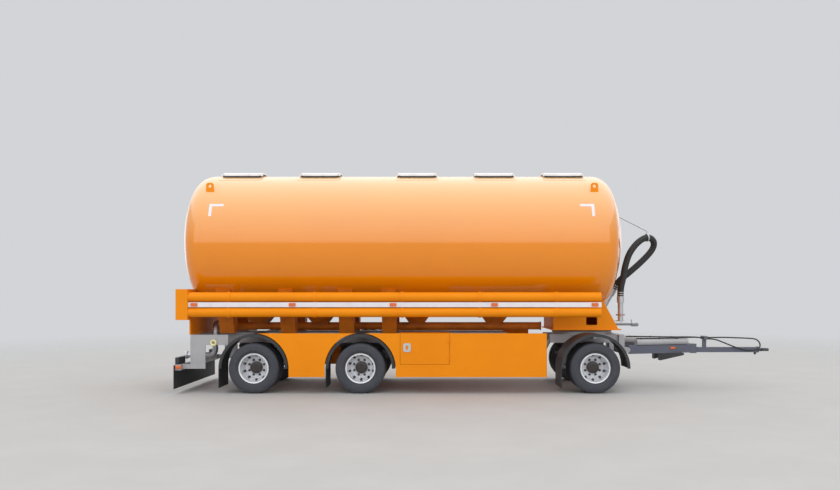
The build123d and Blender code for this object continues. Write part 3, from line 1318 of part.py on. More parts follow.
# Wheels: outlines are drawn outward from the mounting plane, then turned about the axle
rim_mid = TWIN_PITCH / 2
rim_half = BEAD_WIDTH / 2 + RIM_WALL
rim_r = BEAD_R - SEAT
rim_in_r = rim_r - RIM_WALL
disc_rise = 62
tyre_half = TYRE_WIDTH / 2
WHEELS = {  # axle X of each twin wheel
    "rear": REAR_AXLE_X,
    "middle": MIDDLE_AXLE_X,
    "front": FRONT_AXLE_X,
}
for axle_name, axle_x in WHEELS.items():
    for side_name, side in SIDES.items():
        hub_plane = Plane(origin=(axle_x, side * WHEEL_Y, AXLE_Z), x_dir=(0, side, 0), z_dir=(side, 0, 0))
        wheel_axis = Axis((axle_x, side * WHEEL_Y, AXLE_Z), (0, 1, 0))

        with BuildPart() as tyres:
            with BuildSketch(hub_plane):
                for middle in (-rim_mid, rim_mid):
                    with BuildLine():
                        bead = BEAD_WIDTH / 2 - SEAT
                        Polyline(
                            (middle - bead, BEAD_R), (middle - bead, FLANGE_R + 2),
                            (middle - tyre_half, FLANGE_R + 66), (middle - tyre_half + 2, TYRE_R - 60),
                            (middle - tyre_half + 26, TYRE_R - 8), (middle - tyre_half + 42, TYRE_R),
                            (middle + tyre_half - 42, TYRE_R), (middle + tyre_half - 26, TYRE_R - 8),
                            (middle + tyre_half - 2, TYRE_R - 60), (middle + tyre_half, FLANGE_R + 66),
                            (middle + bead, FLANGE_R + 2), (middle + bead, BEAD_R), close=True,
                        )
                    make_face()
            revolve(axis=wheel_axis)
        keep(tyres, f"tyres_{axle_name}_{side_name}")

        with BuildPart() as wheel:
            with BuildSketch(hub_plane):
                for way in (-1, 1):
                    with Locations((way * rim_mid, (rim_r + rim_in_r) / 2)):
                        Rectangle(2 * rim_half, RIM_WALL)
                    for flange in (way * rim_mid - rim_half, way * rim_mid + rim_half - RIM_WALL):
                        with Locations((flange + RIM_WALL / 2, (FLANGE_R + rim_in_r) / 2)):
                            Rectangle(RIM_WALL, FLANGE_R - rim_in_r)
                    with BuildLine():
                        Polyline(
                            (0, DISC_BORE_R), (way * DISC_THICKNESS, DISC_BORE_R),
                            (way * DISC_THICKNESS, DISC_FLAT_R),
                            (way * (disc_rise + DISC_THICKNESS), rim_in_r + RIM_WALL / 2),
                            (way * disc_rise, rim_in_r + RIM_WALL / 2),
                            (0, DISC_FLAT_R + RIM_WALL / 2), close=True,
                        )
                    make_face()
            revolve(axis=wheel_axis)
            hand_plane = Plane(origin=(axle_x, side * WHEEL_Y, AXLE_Z), z_dir=(0, side, 0))
            with Locations(hand_plane):
                with PolarLocations((DISC_FLAT_R + rim_in_r) / 2, HAND_HOLES):
                    Cylinder(HAND_HOLE_R, 2 * disc_rise + 4 * DISC_THICKNESS, mode=Mode.SUBTRACT)
            with BuildSketch(hub_plane):
                with BuildLine():
                    drum_face = -DISC_THICKNESS - SEAT
                    bore_end = -DISC_THICKNESS
                    bore_r = SPINDLE_R + SPINDLE_PLAY
                    Polyline(
                        (-DRUM_DEPTH, bore_r), (-DRUM_DEPTH, DRUM_R),
                        (2 * drum_face, DRUM_R), (2 * drum_face, HUB_FLANGE_R),
                        (drum_face, HUB_FLANGE_R), (drum_face, HUB_R),
                        (DISC_THICKNESS + 6, HUB_R), (DISC_THICKNESS + 6, HUB_CAP_R),
                        (HUB_CAP_LENGTH - 10, HUB_CAP_R), (HUB_CAP_LENGTH, HUB_CAP_R - 14),
                        (HUB_CAP_LENGTH, 0), (bore_end, 0), (bore_end, bore_r), close=True,
                    )
                make_face()
            revolve(axis=wheel_axis)
        keep(wheel, f"wheel_{axle_name}_{side_name}")
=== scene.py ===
import math

import bmesh
import bpy
from mathutils import Matrix, Vector


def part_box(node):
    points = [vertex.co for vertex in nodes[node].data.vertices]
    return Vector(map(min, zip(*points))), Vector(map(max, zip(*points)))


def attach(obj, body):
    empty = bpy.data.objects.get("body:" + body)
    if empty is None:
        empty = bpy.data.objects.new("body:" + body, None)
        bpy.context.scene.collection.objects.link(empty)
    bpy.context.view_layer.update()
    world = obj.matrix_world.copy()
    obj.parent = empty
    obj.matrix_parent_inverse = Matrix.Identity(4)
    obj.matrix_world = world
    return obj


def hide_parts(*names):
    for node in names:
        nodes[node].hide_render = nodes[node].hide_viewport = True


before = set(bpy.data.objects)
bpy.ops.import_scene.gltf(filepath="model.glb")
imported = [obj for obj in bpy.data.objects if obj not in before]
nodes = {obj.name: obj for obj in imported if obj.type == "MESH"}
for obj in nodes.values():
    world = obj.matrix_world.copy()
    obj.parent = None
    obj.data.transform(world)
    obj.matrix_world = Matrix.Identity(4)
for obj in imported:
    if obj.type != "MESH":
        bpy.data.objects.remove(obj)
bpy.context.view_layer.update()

# Studio: a round pale floor under a roof soft box, a tall front one and a weaker back one, in pale air.
# The camera stands at eye height abeam of the tank, 14 m off.
scene = bpy.context.scene
scene.view_settings.view_transform = "Standard"


def linear(code):
    parts = [int(code[i : i + 2], 16) / 255 for i in (1, 3, 5)]
    return [p / 12.92 if p <= 0.04045 else ((p + 0.055) / 1.055) ** 2.4 for p in parts] + [1.0]


def add_node(tree, kind, inputs, **properties):
    node = tree.nodes.new(kind)
    for name, value in properties.items():
        setattr(node, name, value)
    for key, value in inputs.items():
        if isinstance(value, bpy.types.NodeSocket):
            tree.links.new(value, node.inputs[key])
        else:
            node.inputs[key].default_value = value
    return node


camera = bpy.data.objects.new("camera", bpy.data.cameras.new("camera"))
scene.collection.objects.link(camera)
camera.location = (-0.935, -14.25, 1.70)
camera.rotation_euler = (math.radians(90), 0, 0)
camera.data.lens = 32.44
camera.data.shift_x = -0.0119
camera.data.shift_y = 0.0595
camera.data.clip_end = 200
scene.camera = camera

soft_boxes = (  # name, centre, turn about X in degrees, width, depth, power
    ("front_box", (-1, -22, 8.6), 90, 66, 13, 3000),
    ("roof_box", (0, -1, 15), 0, 56, 42, 6900),
    ("back_box", (-1, 22, 8.6), -90, 66, 13, 1400),
)
for name, centre, turn, width, depth, power in soft_boxes:
    lamp = bpy.data.lights.new(name, "AREA")
    lamp.shape = "RECTANGLE"
    lamp.size = width
    lamp.size_y = depth
    lamp.energy = power
    box = bpy.data.objects.new(name, lamp)
    scene.collection.objects.link(box)
    box.location = centre
    box.rotation_euler = (math.radians(turn), 0, 0)
    box.visible_camera = False

studio_air = bpy.data.worlds.new("studio_air")
studio_air.use_nodes = True
scene.world = studio_air
air = studio_air.node_tree
air.nodes.clear()
rays = add_node(air, "ShaderNodeLightPath", {})
fill = add_node(air, "ShaderNodeBackground", {"Color": linear("#F4F6FA"), "Strength": 0.5})
wall = add_node(air, "ShaderNodeBackground", {"Color": linear("#D2D4D7"), "Strength": 1.0})
# The camera, and whatever metal and gloss mirror, see the wall's own colour. The rest is lit by the fill.
shown = rays.outputs["Is Camera Ray"]
for kind in ("Is Glossy Ray", "Is Transmission Ray"):
    shown = add_node(
        air, "ShaderNodeMath", {0: shown, 1: rays.outputs[kind]}, operation="ADD", use_clamp=True
    ).outputs[0]
seen = add_node(air, "ShaderNodeMixShader", {0: shown, 1: fill.outputs[0], 2: wall.outputs[0]})
add_node(air, "ShaderNodeOutputWorld", {"Surface": seen.outputs[0]})


def finish(
    name, code, roughness, soil, soil_share, soil_mm, grain_mm, grain_depth_mm, metallic=0.0, coat=0.0
):
    # Colours are sRGB codes. Soil covers up to soil_share of the coat's own colour in patches of soil_mm.
    # The frame is in metres, so 1000 over a size in millimetres is a noise's scale.
    material = bpy.data.materials.new(name)
    material.use_nodes = True
    tree = material.node_tree
    shader = tree.nodes["Principled BSDF"]
    shader.inputs["Metallic"].default_value = metallic
    shader.inputs["Coat Weight"].default_value = coat
    shader.inputs["Coat Roughness"].default_value = 0.1
    place = add_node(tree, "ShaderNodeTexCoord", {}).outputs["Object"]
    patches = add_node(
        tree, "ShaderNodeTexNoise",
        {"Vector": place, "Scale": 1000 / soil_mm, "Detail": 7.0, "Roughness": 0.62},
    ).outputs[0]
    share = add_node(
        tree, "ShaderNodeMapRange",
        {"Value": patches, "From Min": 0.42, "From Max": 0.72, "To Min": 0.0, "To Max": soil_share},
    ).outputs[0]
    # A colour mix has its factor in socket 0, its colours in 6 and 7, and its result in output 2.
    colour = add_node(
        tree, "ShaderNodeMix", {0: share, 6: linear(code), 7: linear(soil)}, data_type="RGBA"
    ).outputs[2]
    dulled = min(roughness + 0.14, 1.0)
    gloss = add_node(
        tree, "ShaderNodeMapRange",
        {"Value": patches, "From Min": 0.35, "From Max": 0.75, "To Min": roughness, "To Max": dulled},
    ).outputs[0]
    # The grain is the coat's own texture: orange peel on paint, pebbling on plastic, casting skin on steel.
    grain = add_node(
        tree, "ShaderNodeTexNoise", {"Vector": place, "Scale": 1000 / grain_mm, "Detail": 3.0}
    ).outputs[0]
    bump = add_node(
        tree, "ShaderNodeBump", {"Strength": 0.5, "Distance": grain_depth_mm / 1000, "Height": grain}
    ).outputs[0]
    tree.links.new(colour, shader.inputs["Base Color"])
    tree.links.new(gloss, shader.inputs["Roughness"])
    tree.links.new(bump, shader.inputs["Normal"])
    return material


def add_piece(name, bm, material, body=None, crease=30):
    bmesh.ops.remove_doubles(bm, verts=bm.verts, dist=1e-5)
    bmesh.ops.recalc_face_normals(bm, faces=bm.faces)
    mesh = bpy.data.meshes.new(name)
    bm.to_mesh(mesh)
    bm.free()
    mesh.polygons.foreach_set("use_smooth", [True] * len(mesh.polygons))
    mesh.set_sharp_from_angle(angle=math.radians(crease))
    mesh.materials.append(material)
    piece = bpy.data.objects.new(name, mesh)
    scene.collection.objects.link(piece)
    if body:
        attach(piece, body)
    return piece


# Painted concrete: even and matt, so that it takes the shadow and mirrors nothing.
matt_floor = finish(
    "matt_studio_floor", "#B2B1AF", roughness=0.85, soil="#BBBAB8", soil_share=0.6, soil_mm=900,
    grain_mm=12, grain_depth_mm=0.2,
)
floor_solid_r = 9.0
floor_rim_r = 24
bm = bmesh.new()
bmesh.ops.create_circle(bm, cap_ends=True, segments=96, radius=floor_rim_r)
add_piece("floor", bm, matt_floor)
# The floor thins out from 9 m to its rim, so that it meets the air without an edge.
tree = matt_floor.node_tree
floor_place = tree.nodes["Texture Coordinate"].outputs["Object"]
reach = add_node(tree, "ShaderNodeVectorMath", {0: floor_place}, operation="LENGTH").outputs["Value"]
far = add_node(
    tree, "ShaderNodeMapRange",
    {"Value": reach, "From Min": floor_solid_r, "From Max": floor_rim_r, "To Min": 0.0, "To Max": 1.0},
    interpolation_type="SMOOTHSTEP",
).outputs[0]
open_air = add_node(tree, "ShaderNodeBsdfTransparent", {}).outputs[0]
thinned = add_node(
    tree, "ShaderNodeMixShader", {0: far, 1: tree.nodes["Principled BSDF"].outputs[0], 2: open_air}
).outputs[0]
tree.links.new(thinned, tree.nodes["Material Output"].inputs["Surface"])

# Chassis: welded and rolled steel sections, sprayed light grey and left satin.
# Road film has dried on it in patches. The bumper is bolted to its rear plates.


def dress(material, *names):
    for name in names:
        nodes[name].data.materials.clear()
        nodes[name].data.materials.append(material)


# Satin enamel: a soft broad sheen, dulled where the film lies.
grey_enamel = finish(
    "satin_grey_frame_enamel", "#A9A9AC", roughness=0.46, soil="#8B8780", soil_share=0.35, soil_mm=420,
    grain_mm=3, grain_depth_mm=0.06, coat=0.15,
)
dress(grey_enamel, "chassis_frame", "rear_bumper")

# Axles and suspension: forged beams and trailing arms in slate chassis paint.
# They hang under rolling-lobe air springs of moulded black rubber, on the arms' tails.

# Chassis paint: dark with a low sheen, and browner where mud has dried.
slate_enamel = finish(
    "satin_slate_chassis_enamel", "#565A69", roughness=0.48, soil="#6A655E", soil_share=0.35, soil_mm=260,
    grain_mm=3, grain_depth_mm=0.08, coat=0.1,
)
# Moulded rubber: matt and near black, with chalky patches.
black_rubber = finish(
    "matt_black_rubber", "#202124", roughness=0.62, soil="#4A4743", soil_share=0.28, soil_mm=120,
    grain_mm=4, grain_depth_mm=0.12,
)
dress(slate_enamel, "rear_axles", "dolly_axle", "suspension_arms", "dolly_arms", "air_tanks")
dress(black_rubber, "air_springs", "dolly_air_springs")

# Wheels: pressed steel discs in bright silver paint, bolted back to back on each hub by eight nuts.
# A dark enamelled cap closes the hub. Brake dust dulls the dish.

# Silver lacquer: bright, with a clear highlight under grey dust.
silver_paint = finish(
    "bright_silver_wheel_paint", "#DEE0E5", roughness=0.34, soil="#A29E9A", soil_share=0.3, soil_mm=70,
    grain_mm=2, grain_depth_mm=0.04, metallic=0.1, coat=0.3,
)
# Rim lip: paler than the dish paint as a painted highlight, and glossier, for a thin sharp glint round the
# rim.
rim_highlight_silver = finish(
    "highlight_pale_rim_silver", "#EDEFF4", roughness=0.2, soil="#C2C1C0", soil_share=0.25, soil_mm=60,
    grain_mm=2, grain_depth_mm=0.02, metallic=0.4, coat=0.6,
)
# Dark enamel: nearly black, with a small highlight on the cap's shoulder.
cap_enamel = finish(
    "dark_hub_cap_enamel", "#2B2322", roughness=0.34, soil="#4E4642", soil_share=0.35, soil_mm=40,
    grain_mm=2, grain_depth_mm=0.05, coat=0.2,
)
# Oiled steel: dark metal with a brown film.
nut_steel = finish(
    "oiled_nut_steel", "#4B4D52", roughness=0.42, soil="#6E6458", soil_share=0.4, soil_mm=25,
    grain_mm=2, grain_depth_mm=0.05, metallic=0.8,
)
axle_z = 0.4335
wheel_y = 0.955
twin_wheels = [  # name, hub, the way out
    (f"{axle}_{side}", Vector((axle_x, way * wheel_y, axle_z)), way)
    for axle, axle_x in (("rear", -3.975), ("middle", -2.135), ("front", 1.915))
    for side, way in (("right", -1), ("left", 1))
]
disc_face = 0.014
nut_count = 8
nut_circle_r = 0.1375
nut_across = 0.033
nut_taper = 0.92
nut_parts = (  # radius, height and sides of the washer, the nut and the stud
    (0.022, 0.005, 24), (nut_across / 1.732, 0.028, 6), (0.011, 0.042, 16),
)
cap_profile = (  # distance out from the disc's middle plane, radius
    (0.015, 0.107), (0.056, 0.105), (0.064, 0.098), (0.068, 0.084), (0.068, 0.046), (0.074, 0.043),
    (0.074, 0.0),
)
lip_profile = (  # the rolled lip of the rim, by the same measures
    (0.250, 0.261), (0.2565, 0.260), (0.2595, 0.256), (0.2585, 0.250), (0.2555, 0.2465), (0.250, 0.2455),
)
spun_parts = (  # name, profile, steps, material, slot
    ("hub_cap", cap_profile, 48, cap_enamel, "cast_steel"),
    ("rim_lip", lip_profile, 72, rim_highlight_silver, "silver_wheel_paint"),
)


def spin_line(bm, points, centre, axis, steps, angle=math.tau, closed=False):
    verts = [bm.verts.new(point) for point in points]
    after = verts[1:] + verts[:1] if closed else verts[1:]
    edges = [bm.edges.new(pair) for pair in zip(verts, after)]
    bmesh.ops.spin(
        bm, geom=verts + edges, cent=centre, axis=axis, angle=angle, steps=steps,
        use_merge=angle == math.tau,
    )


for place, hub, way in twin_wheels:
    dress(silver_paint, f"wheel_{place}")
    wheel = f"twin_wheel_{place}"
    for part, profile, steps, coat, slot in spun_parts:
        bm = bmesh.new()
        points = [hub + Vector((0, way * out, radius)) for out, radius in profile]
        spin_line(bm, points, hub, (0, 1, 0), steps)
        add_piece(f"{part}_{place}", bm, coat, wheel)
    bm = bmesh.new()
    for index in range(nut_count):
        turn = Matrix.Rotation(math.tau * (index + 0.5) / nut_count, 4, "Y")
        seat = hub + turn @ Vector((nut_circle_r, 0, 0)) + Vector((0, way * disc_face, 0))
        for radius, tall, sides in nut_parts:
            lift = Matrix.Translation(seat + Vector((0, way * tall / 2, 0)))
            bmesh.ops.create_cone(
                bm, cap_ends=True, segments=sides, radius1=radius, radius2=radius * nut_taper, depth=tall,
                matrix=lift @ Matrix.Rotation(math.pi / 2, 4, "X"),
            )
    add_piece(f"wheel_nuts_{place}", bm, nut_steel, wheel)

# Tyres: twin road tyres of moulded rubber with four block ribs and ringed sidewalls.
# They are fitted over the rims.

# Weathered rubber: without gloss, and a dusty blue grey.
tyre_rubber = finish(
    "weathered_tyre_rubber", "#3A3D45", roughness=0.7, soil="#5D5A57", soil_share=0.3, soil_mm=90,
    grain_mm=6, grain_depth_mm=0.25,
)
twin_half = 0.149
tread_base_r = 0.4255
tread_crown = 0.004  # faces up to this far below the tread's base carry blocks
block_height = 0.008
block_gap = 0.004
half_profile = (  # distance out from the tyre's middle plane, radius
    (0.0, tread_base_r), (0.049, tread_base_r), (0.098, tread_base_r - 0.003), (0.112, 0.419),
    (0.124, 0.398), (0.1285, 0.377), (0.1305, 0.376), (0.1305, 0.372), (0.1290, 0.371), (0.1310, 0.345),
    (0.1300, 0.327), (0.1265, 0.309), (0.1275, 0.308), (0.1265, 0.304), (0.1240, 0.303), (0.1130, 0.284),
    (0.1020, 0.272), (0.0990, 0.263), (0.0937, 0.261), (0.0937, 0.248),
)
full_profile = [(-out, r) for out, r in reversed(half_profile)] + list(half_profile[1:])
for place, hub, _ in twin_wheels:
    bm = bmesh.new()
    for offset in (-twin_half, twin_half):
        middle = hub + Vector((0, offset, 0))
        spin_line(bm, [middle + Vector((0, out, r)) for out, r in full_profile], middle, (0, 1, 0), 96)
    bmesh.ops.recalc_face_normals(bm, faces=bm.faces)
    blocks = []
    for face in bm.faces:
        arm = face.calc_center_median() - hub
        if math.hypot(arm.x, arm.z) > tread_base_r - tread_crown:
            blocks.append(face)
    bmesh.ops.inset_individual(bm, faces=blocks, thickness=block_gap, depth=block_height)
    tyres = add_piece(
        f"tyre_tread_{place}", bm, tyre_rubber, f"twin_wheel_{place}", crease=40
    )
    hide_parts(f"tyres_{place}")

# Mudguards: vacuum-formed black plastic shells, clipped to tubes over each twin wheel.
# Spray dust greys their crowns.

# Pebbled plastic: the grain breaks the highlight into a dull sheen.
black_plastic = finish(
    "pebbled_black_plastic", "#23272B", roughness=0.5, soil="#55524E", soil_share=0.3, soil_mm=240,
    grain_mm=2.5, grain_depth_mm=0.3,
)
dress(black_plastic, "mudguards", "dolly_mudguards")

# Tank: rolled steel plate with two pressed dished heads, sprayed orange enamel under a deep clear coat.
# The two girth welds show as faint beads, and reflective tape marks its upper corners.

# Gloss enamel: the soft boxes show pale in its upper half and the floor shows in its lower half.
orange_enamel = finish(
    "glossy_orange_enamel", "#EE8C02", roughness=0.4, soil="#DC7A06", soil_share=0.25, soil_mm=1500,
    grain_mm=5, grain_depth_mm=0.02, coat=1.0,
)
tree = orange_enamel.node_tree
shader = tree.nodes["Principled BSDF"]
shader.inputs["Coat IOR"].default_value = 1.62
shader.inputs["Specular IOR Level"].default_value = 0.1
# A pale painted sheen, standing in for the soft boxes' reflection, lightens the coat towards the crown, by
# heights in metres above the ground.
painted_sheen_from = 2.6
painted_sheen_to = 3.8
painted_sheen_share = 0.6
height = add_node(
    tree, "ShaderNodeSeparateXYZ", {"Vector": tree.nodes["Texture Coordinate"].outputs["Object"]}
).outputs["Z"]
painted_sheen = add_node(
    tree, "ShaderNodeMapRange",
    {
        "Value": height, "From Min": painted_sheen_from, "From Max": painted_sheen_to,
        "To Min": 0.0, "To Max": painted_sheen_share,
    },
).outputs[0]
colour_before_sheen = shader.inputs["Base Color"].links[0].from_socket
painted_sheen_colour = add_node(
    tree, "ShaderNodeMix", {0: painted_sheen, 6: colour_before_sheen, 7: linear("#E8D2A4")}, data_type="RGBA"
).outputs[2]
tree.links.new(painted_sheen_colour, shader.inputs["Base Color"])
dress(orange_enamel, "tank_barrel", "tank_head_rear", "tank_head_front")

# The same enamel without a clear coat: a flat strong orange.
satin_orange = finish(
    "satin_orange_enamel", "#F08E00", roughness=0.5, soil="#DA7806", soil_share=0.3, soil_mm=800,
    grain_mm=4, grain_depth_mm=0.03,
)
satin_orange.node_tree.nodes["Principled BSDF"].inputs["Specular IOR Level"].default_value = 0.2
tank_r = 1.25
tank_z = 2.66
tank_axis = (1, 0, 0)
tank_middle = (0, 0, tank_z)
lug_inner_y = 0.8
lug_lift = 0.01
barrel = nodes["tank_barrel"].data
barrel.materials.append(satin_orange)
for face in barrel.polygons:
    out = math.hypot(face.center.y, face.center.z - tank_z) - tank_r
    if abs(face.center.y) > lug_inner_y and out > lug_lift:
        face.material_index = 1  # the lifting lugs keep the plain coat

barrel_ends = (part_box("tank_head_rear")[1][0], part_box("tank_head_front")[0][0])
bead_half = 0.007
bead_rise = 0.002
bm = bmesh.new()
for end_x in barrel_ends:
    points = []
    for across in (-1, -0.5, 0, 0.5, 1):
        rise = bead_rise * (1 - across**2)
        points.append((end_x + bead_half * across, 0, tank_z + tank_r + rise))
    spin_line(bm, points, tank_middle, tank_axis, 128)
add_piece("girth_welds", bm, orange_enamel, "chassis")

# Reflective sheeting: an even bright white with a slight sheen.
white_tape = finish(
    "white_reflective_tape", "#E6E2E6", roughness=0.28, soil="#B9B2AC", soil_share=0.22, soil_mm=150,
    grain_mm=1.5, grain_depth_mm=0.05, coat=0.4,
)
tape_width = 0.05
tape_reach = 0.245
tape_top = math.radians(29.9)
tape_r = tank_r + 0.0012
tape_bend = tape_top - tape_width / tank_r
tape_foot = tape_top - tape_reach / tank_r
tape_corners = ((-4.766, 1), (1.917, -1))  # outer X of each corner, the way its level arm runs
tape_arms = (  # reach along X, lower and upper angle about the tank's axis
    (tape_reach, tape_bend, tape_top), (tape_width, tape_foot, tape_bend),
)
bm = bmesh.new()
for side in (-1, 1):
    for corner_x, run in tape_corners:
        for reach, low, high in tape_arms:
            y = side * tape_r * math.cos(low)
            z = tank_z + tape_r * math.sin(low)
            edge = ((corner_x, y, z), (corner_x + run * reach, y, z))
            spin_line(bm, edge, tank_middle, tank_axis, 6, angle=side * (high - low))
add_piece("corner_tapes", bm, white_tape, "chassis")

# Roof hatches: pressed steel lids in white paint, hinged on the far side and clamped at the ends.
# A black rubber seal strip is pushed over each lid's skirt; its dark band also stands in for the shade
# under the lid.

# Weathered white paint: off-white, with grey dust in patches.
white_enamel = finish(
    "weathered_white_lid_paint", "#E8E6E6", roughness=0.4, soil="#A39B92", soil_share=0.4, soil_mm=160,
    grain_mm=3, grain_depth_mm=0.05, coat=0.2,
)
# The seal band is drawn taller than the gap, as painted shade under each lid.
seal_proud = 0.004
seal_thick = 0.007
seal_rs = (tank_r + 0.012, tank_r + 0.036)  # lower and upper edge, from the tank's axis
seal_half_x = 0.356 + seal_proud
seal_half_y = 0.420 + seal_proud
seal_corner_r = 0.080 + seal_proud
corner_steps = 7
side_steps = 8
outline = []
for quarter, (way_x, way_y) in enumerate(((1, 1), (-1, 1), (-1, -1), (1, -1))):
    corner_x = way_x * (seal_half_x - seal_corner_r)
    corner_y = way_y * (seal_half_y - seal_corner_r)
    for step in range(corner_steps + 1):
        angle = math.pi / 2 * (quarter + step / corner_steps)
        x = corner_x + seal_corner_r * math.cos(angle)
        y = corner_y + seal_corner_r * math.sin(angle)
        outline.append((x, y))
    if quarter % 2:
        for step in range(1, side_steps):
            outline.append((way_x * seal_half_x, corner_y * (1 - 2 * step / side_steps)))
for number in range(1, 6):
    lid = f"hatch_lid_{number}"
    dress(white_enamel, lid)
    lid_low, lid_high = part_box(lid)
    hatch_x = (lid_low[0] + lid_high[0]) / 2
    bm = bmesh.new()
    rows = []
    for x, y in outline:
        rows.append([bm.verts.new((hatch_x + x, y, tank_z + math.sqrt(r**2 - y**2))) for r in seal_rs])
    for near, far in zip(rows, rows[1:] + rows[:1]):
        bm.faces.new((near[0], far[0], far[1], near[1]))
    bmesh.ops.recalc_face_normals(bm, faces=bm.faces)
    bmesh.ops.solidify(bm, geom=bm.faces[:], thickness=seal_thick)
    add_piece(f"lid_seal_and_shade_{number}", bm, black_rubber, f"lid_{number}")

# Undertank: pressed hoppers, their saddles and the discharge line, in orange paint browned with painted
# shade, as they lie under the tank.
# The welded bulkhead, hose tubes and clamps at the sides keep the plain orange.

# Painted shade: orange browned in broad patches, without a sheen.
undertank_shade_orange = finish(
    "shade_darkened_orange_enamel", "#DE7A06", roughness=0.55, soil="#7A3E12", soil_share=0.5, soil_mm=320,
    grain_mm=4, grain_depth_mm=0.05,
)
dress(undertank_shade_orange, "discharge_hoppers", "discharge_pipe", "tank_saddles")
dress(satin_orange, "rear_bulkhead", "hose_tubes", "tube_brackets")

# Side markings: a white contour strip in a channel between the tubes.
# Amber marker lamps with moulded lenses are fixed on it.

# Pebbled acrylic: a deep even colour, with small bright points.
amber_lens = finish(
    "amber_acrylic_lens", "#E0661A", roughness=0.2, soil="#B5501A", soil_share=0.5, soil_mm=30,
    grain_mm=4, grain_depth_mm=0.4, coat=0.6,
)
dress(white_tape, "marker_strips")
dress(amber_lens, "side_markers")

# Side panels: folded sheet skirts in the tank's orange, with a locker and a flush door in each.
# The door's latch is a pressed stainless dish.

# Pressed stainless: bright metal with a soft satin glint.
stainless = finish(
    "pressed_stainless", "#C9CBCE", roughness=0.26, soil="#9C9C9C", soil_share=0.3, soil_mm=40,
    grain_mm=1.2, grain_depth_mm=0.03, metallic=0.9,
)
dress(satin_orange, "side_panels", "locker_boxes", "locker_door_right", "locker_door_left")
dress(stainless, "locker_latch_right", "locker_latch_left")

# Rear end: a rubber spray flap behind the bumper, red lamps above it and a galvanised outlet and valve.
# A cream plastic ring hangs on the frame's side, and an amber lamp ends the bumper.

# Pebbled acrylic again, in a deep red.
red_lens = finish(
    "red_acrylic_lens", "#A81418", roughness=0.2, soil="#7D1014", soil_share=0.5, soil_mm=30,
    grain_mm=4, grain_depth_mm=0.4, coat=0.6,
)
# Hot-dip zinc: a spangle of paler and darker grey crystals.
zinc = finish(
    "galvanised_zinc", "#BFC2C6", roughness=0.36, soil="#8F9398", soil_share=0.55, soil_mm=14,
    grain_mm=6, grain_depth_mm=0.05, metallic=0.75,
)
# Moulded plastic: a soft pale yellow with a mild sheen.
cream_plastic = finish(
    "cream_moulded_plastic", "#E6E0A8", roughness=0.42, soil="#B8AE80", soil_share=0.35, soil_mm=40,
    grain_mm=3, grain_depth_mm=0.08, coat=0.2,
)
dress(black_rubber, "rear_flap")
dress(black_plastic, "rear_lamps")
dress(zinc, "rear_outlet")


def add_box(bm, low, high, edge, place=Matrix.Identity(4)):
    size = [b - a for a, b in zip(low, high)]
    middle = [(a + b) / 2 for a, b in zip(low, high)]
    stretch = place @ Matrix.Translation(middle) @ Matrix.Diagonal((*size, 1))
    corners = bmesh.ops.create_cube(bm, size=1, matrix=stretch)
    edges = {e for vert in corners["verts"] for e in vert.link_edges}
    bmesh.ops.bevel(
        bm, geom=list(edges), offset=edge, segments=3, profile=0.5, affect="EDGES", material=-1
    )


lamp_low, lamp_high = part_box("rear_lamps")
lens_out = 0.007
lens_rim = 0.012
lens_edge = 0.005
lens_inner_y = 0.820
lens_split_y = 1.055
lens_outer_y = 1.180
reds = bmesh.new()
ambers = bmesh.new()
for side in (-1, 1):
    for bm, inner, outer in ((reds, lens_inner_y, lens_split_y), (ambers, lens_split_y, lens_outer_y)):
        ys = sorted((side * (inner + lens_rim), side * (outer - lens_rim)))
        add_box(
            bm,
            (lamp_low[0] - lens_out, ys[0], lamp_low[2] + lens_rim),
            (lamp_low[0] + lens_out, ys[1], lamp_high[2] - lens_rim),
            lens_edge,
        )
bumper_low, bumper_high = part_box("rear_bumper")
end_lamp_x = (bumper_low[0] + 0.012, bumper_low[0] + 0.112)
end_lamp_z = (0.425, 0.483)
end_lamp_out = 0.022
end_lamp_edge = 0.008
for face in (bumper_low[1], bumper_high[1]):
    add_box(
        ambers,
        (end_lamp_x[0], face - end_lamp_out, end_lamp_z[0]),
        (end_lamp_x[1], face + end_lamp_out, end_lamp_z[1]),
        end_lamp_edge,
    )
add_piece("tail_lenses", reds, red_lens, "chassis")
add_piece("turn_lenses", ambers, amber_lens, "chassis")

ring_middle = Vector((-4.69, -1.110, 0.87))  # on the frame's right side plate
ring_r = 0.042
ring_section = 0.018
ring_sides = 14
bm = bmesh.new()
points = []
for step in range(ring_sides):
    angle = math.tau * step / ring_sides
    spot = Vector((ring_r + ring_section * math.cos(angle), ring_section * (math.sin(angle) - 1), 0))
    points.append(ring_middle + spot)
spin_line(bm, points, ring_middle, (0, 1, 0), 40, closed=True)
add_piece("marker_ring", bm, cream_plastic, "chassis")

# Front turntable: a welded orange pedestal on a machined steel race, over the steering dolly's grey frame.
# The race is greased and dark.

# Cast steel: rough dark metal with a broken glint.
cast_steel = finish(
    "dark_cast_steel", "#55565A", roughness=0.5, soil="#3A3836", soil_share=0.5, soil_mm=60,
    grain_mm=5, grain_depth_mm=0.2, metallic=0.7,
)
dress(satin_orange, "front_pedestal")
dress(cast_steel, "turntable_race")
dress(grey_enamel, "dolly_frame")

# Drawbar: two welded arms and a pole in slate paint with a forged ring eye bolted to the tip.
# Pale tubes lie along the arms, wheel chocks hang under them and the brake cable loops over the pole.
dress(slate_enamel, "drawbar_frame", "hose_post")
dress(grey_enamel, "drawbar_pipes")
dress(cast_steel, "drawbar_eye")
dress(black_plastic, "wheel_chocks")

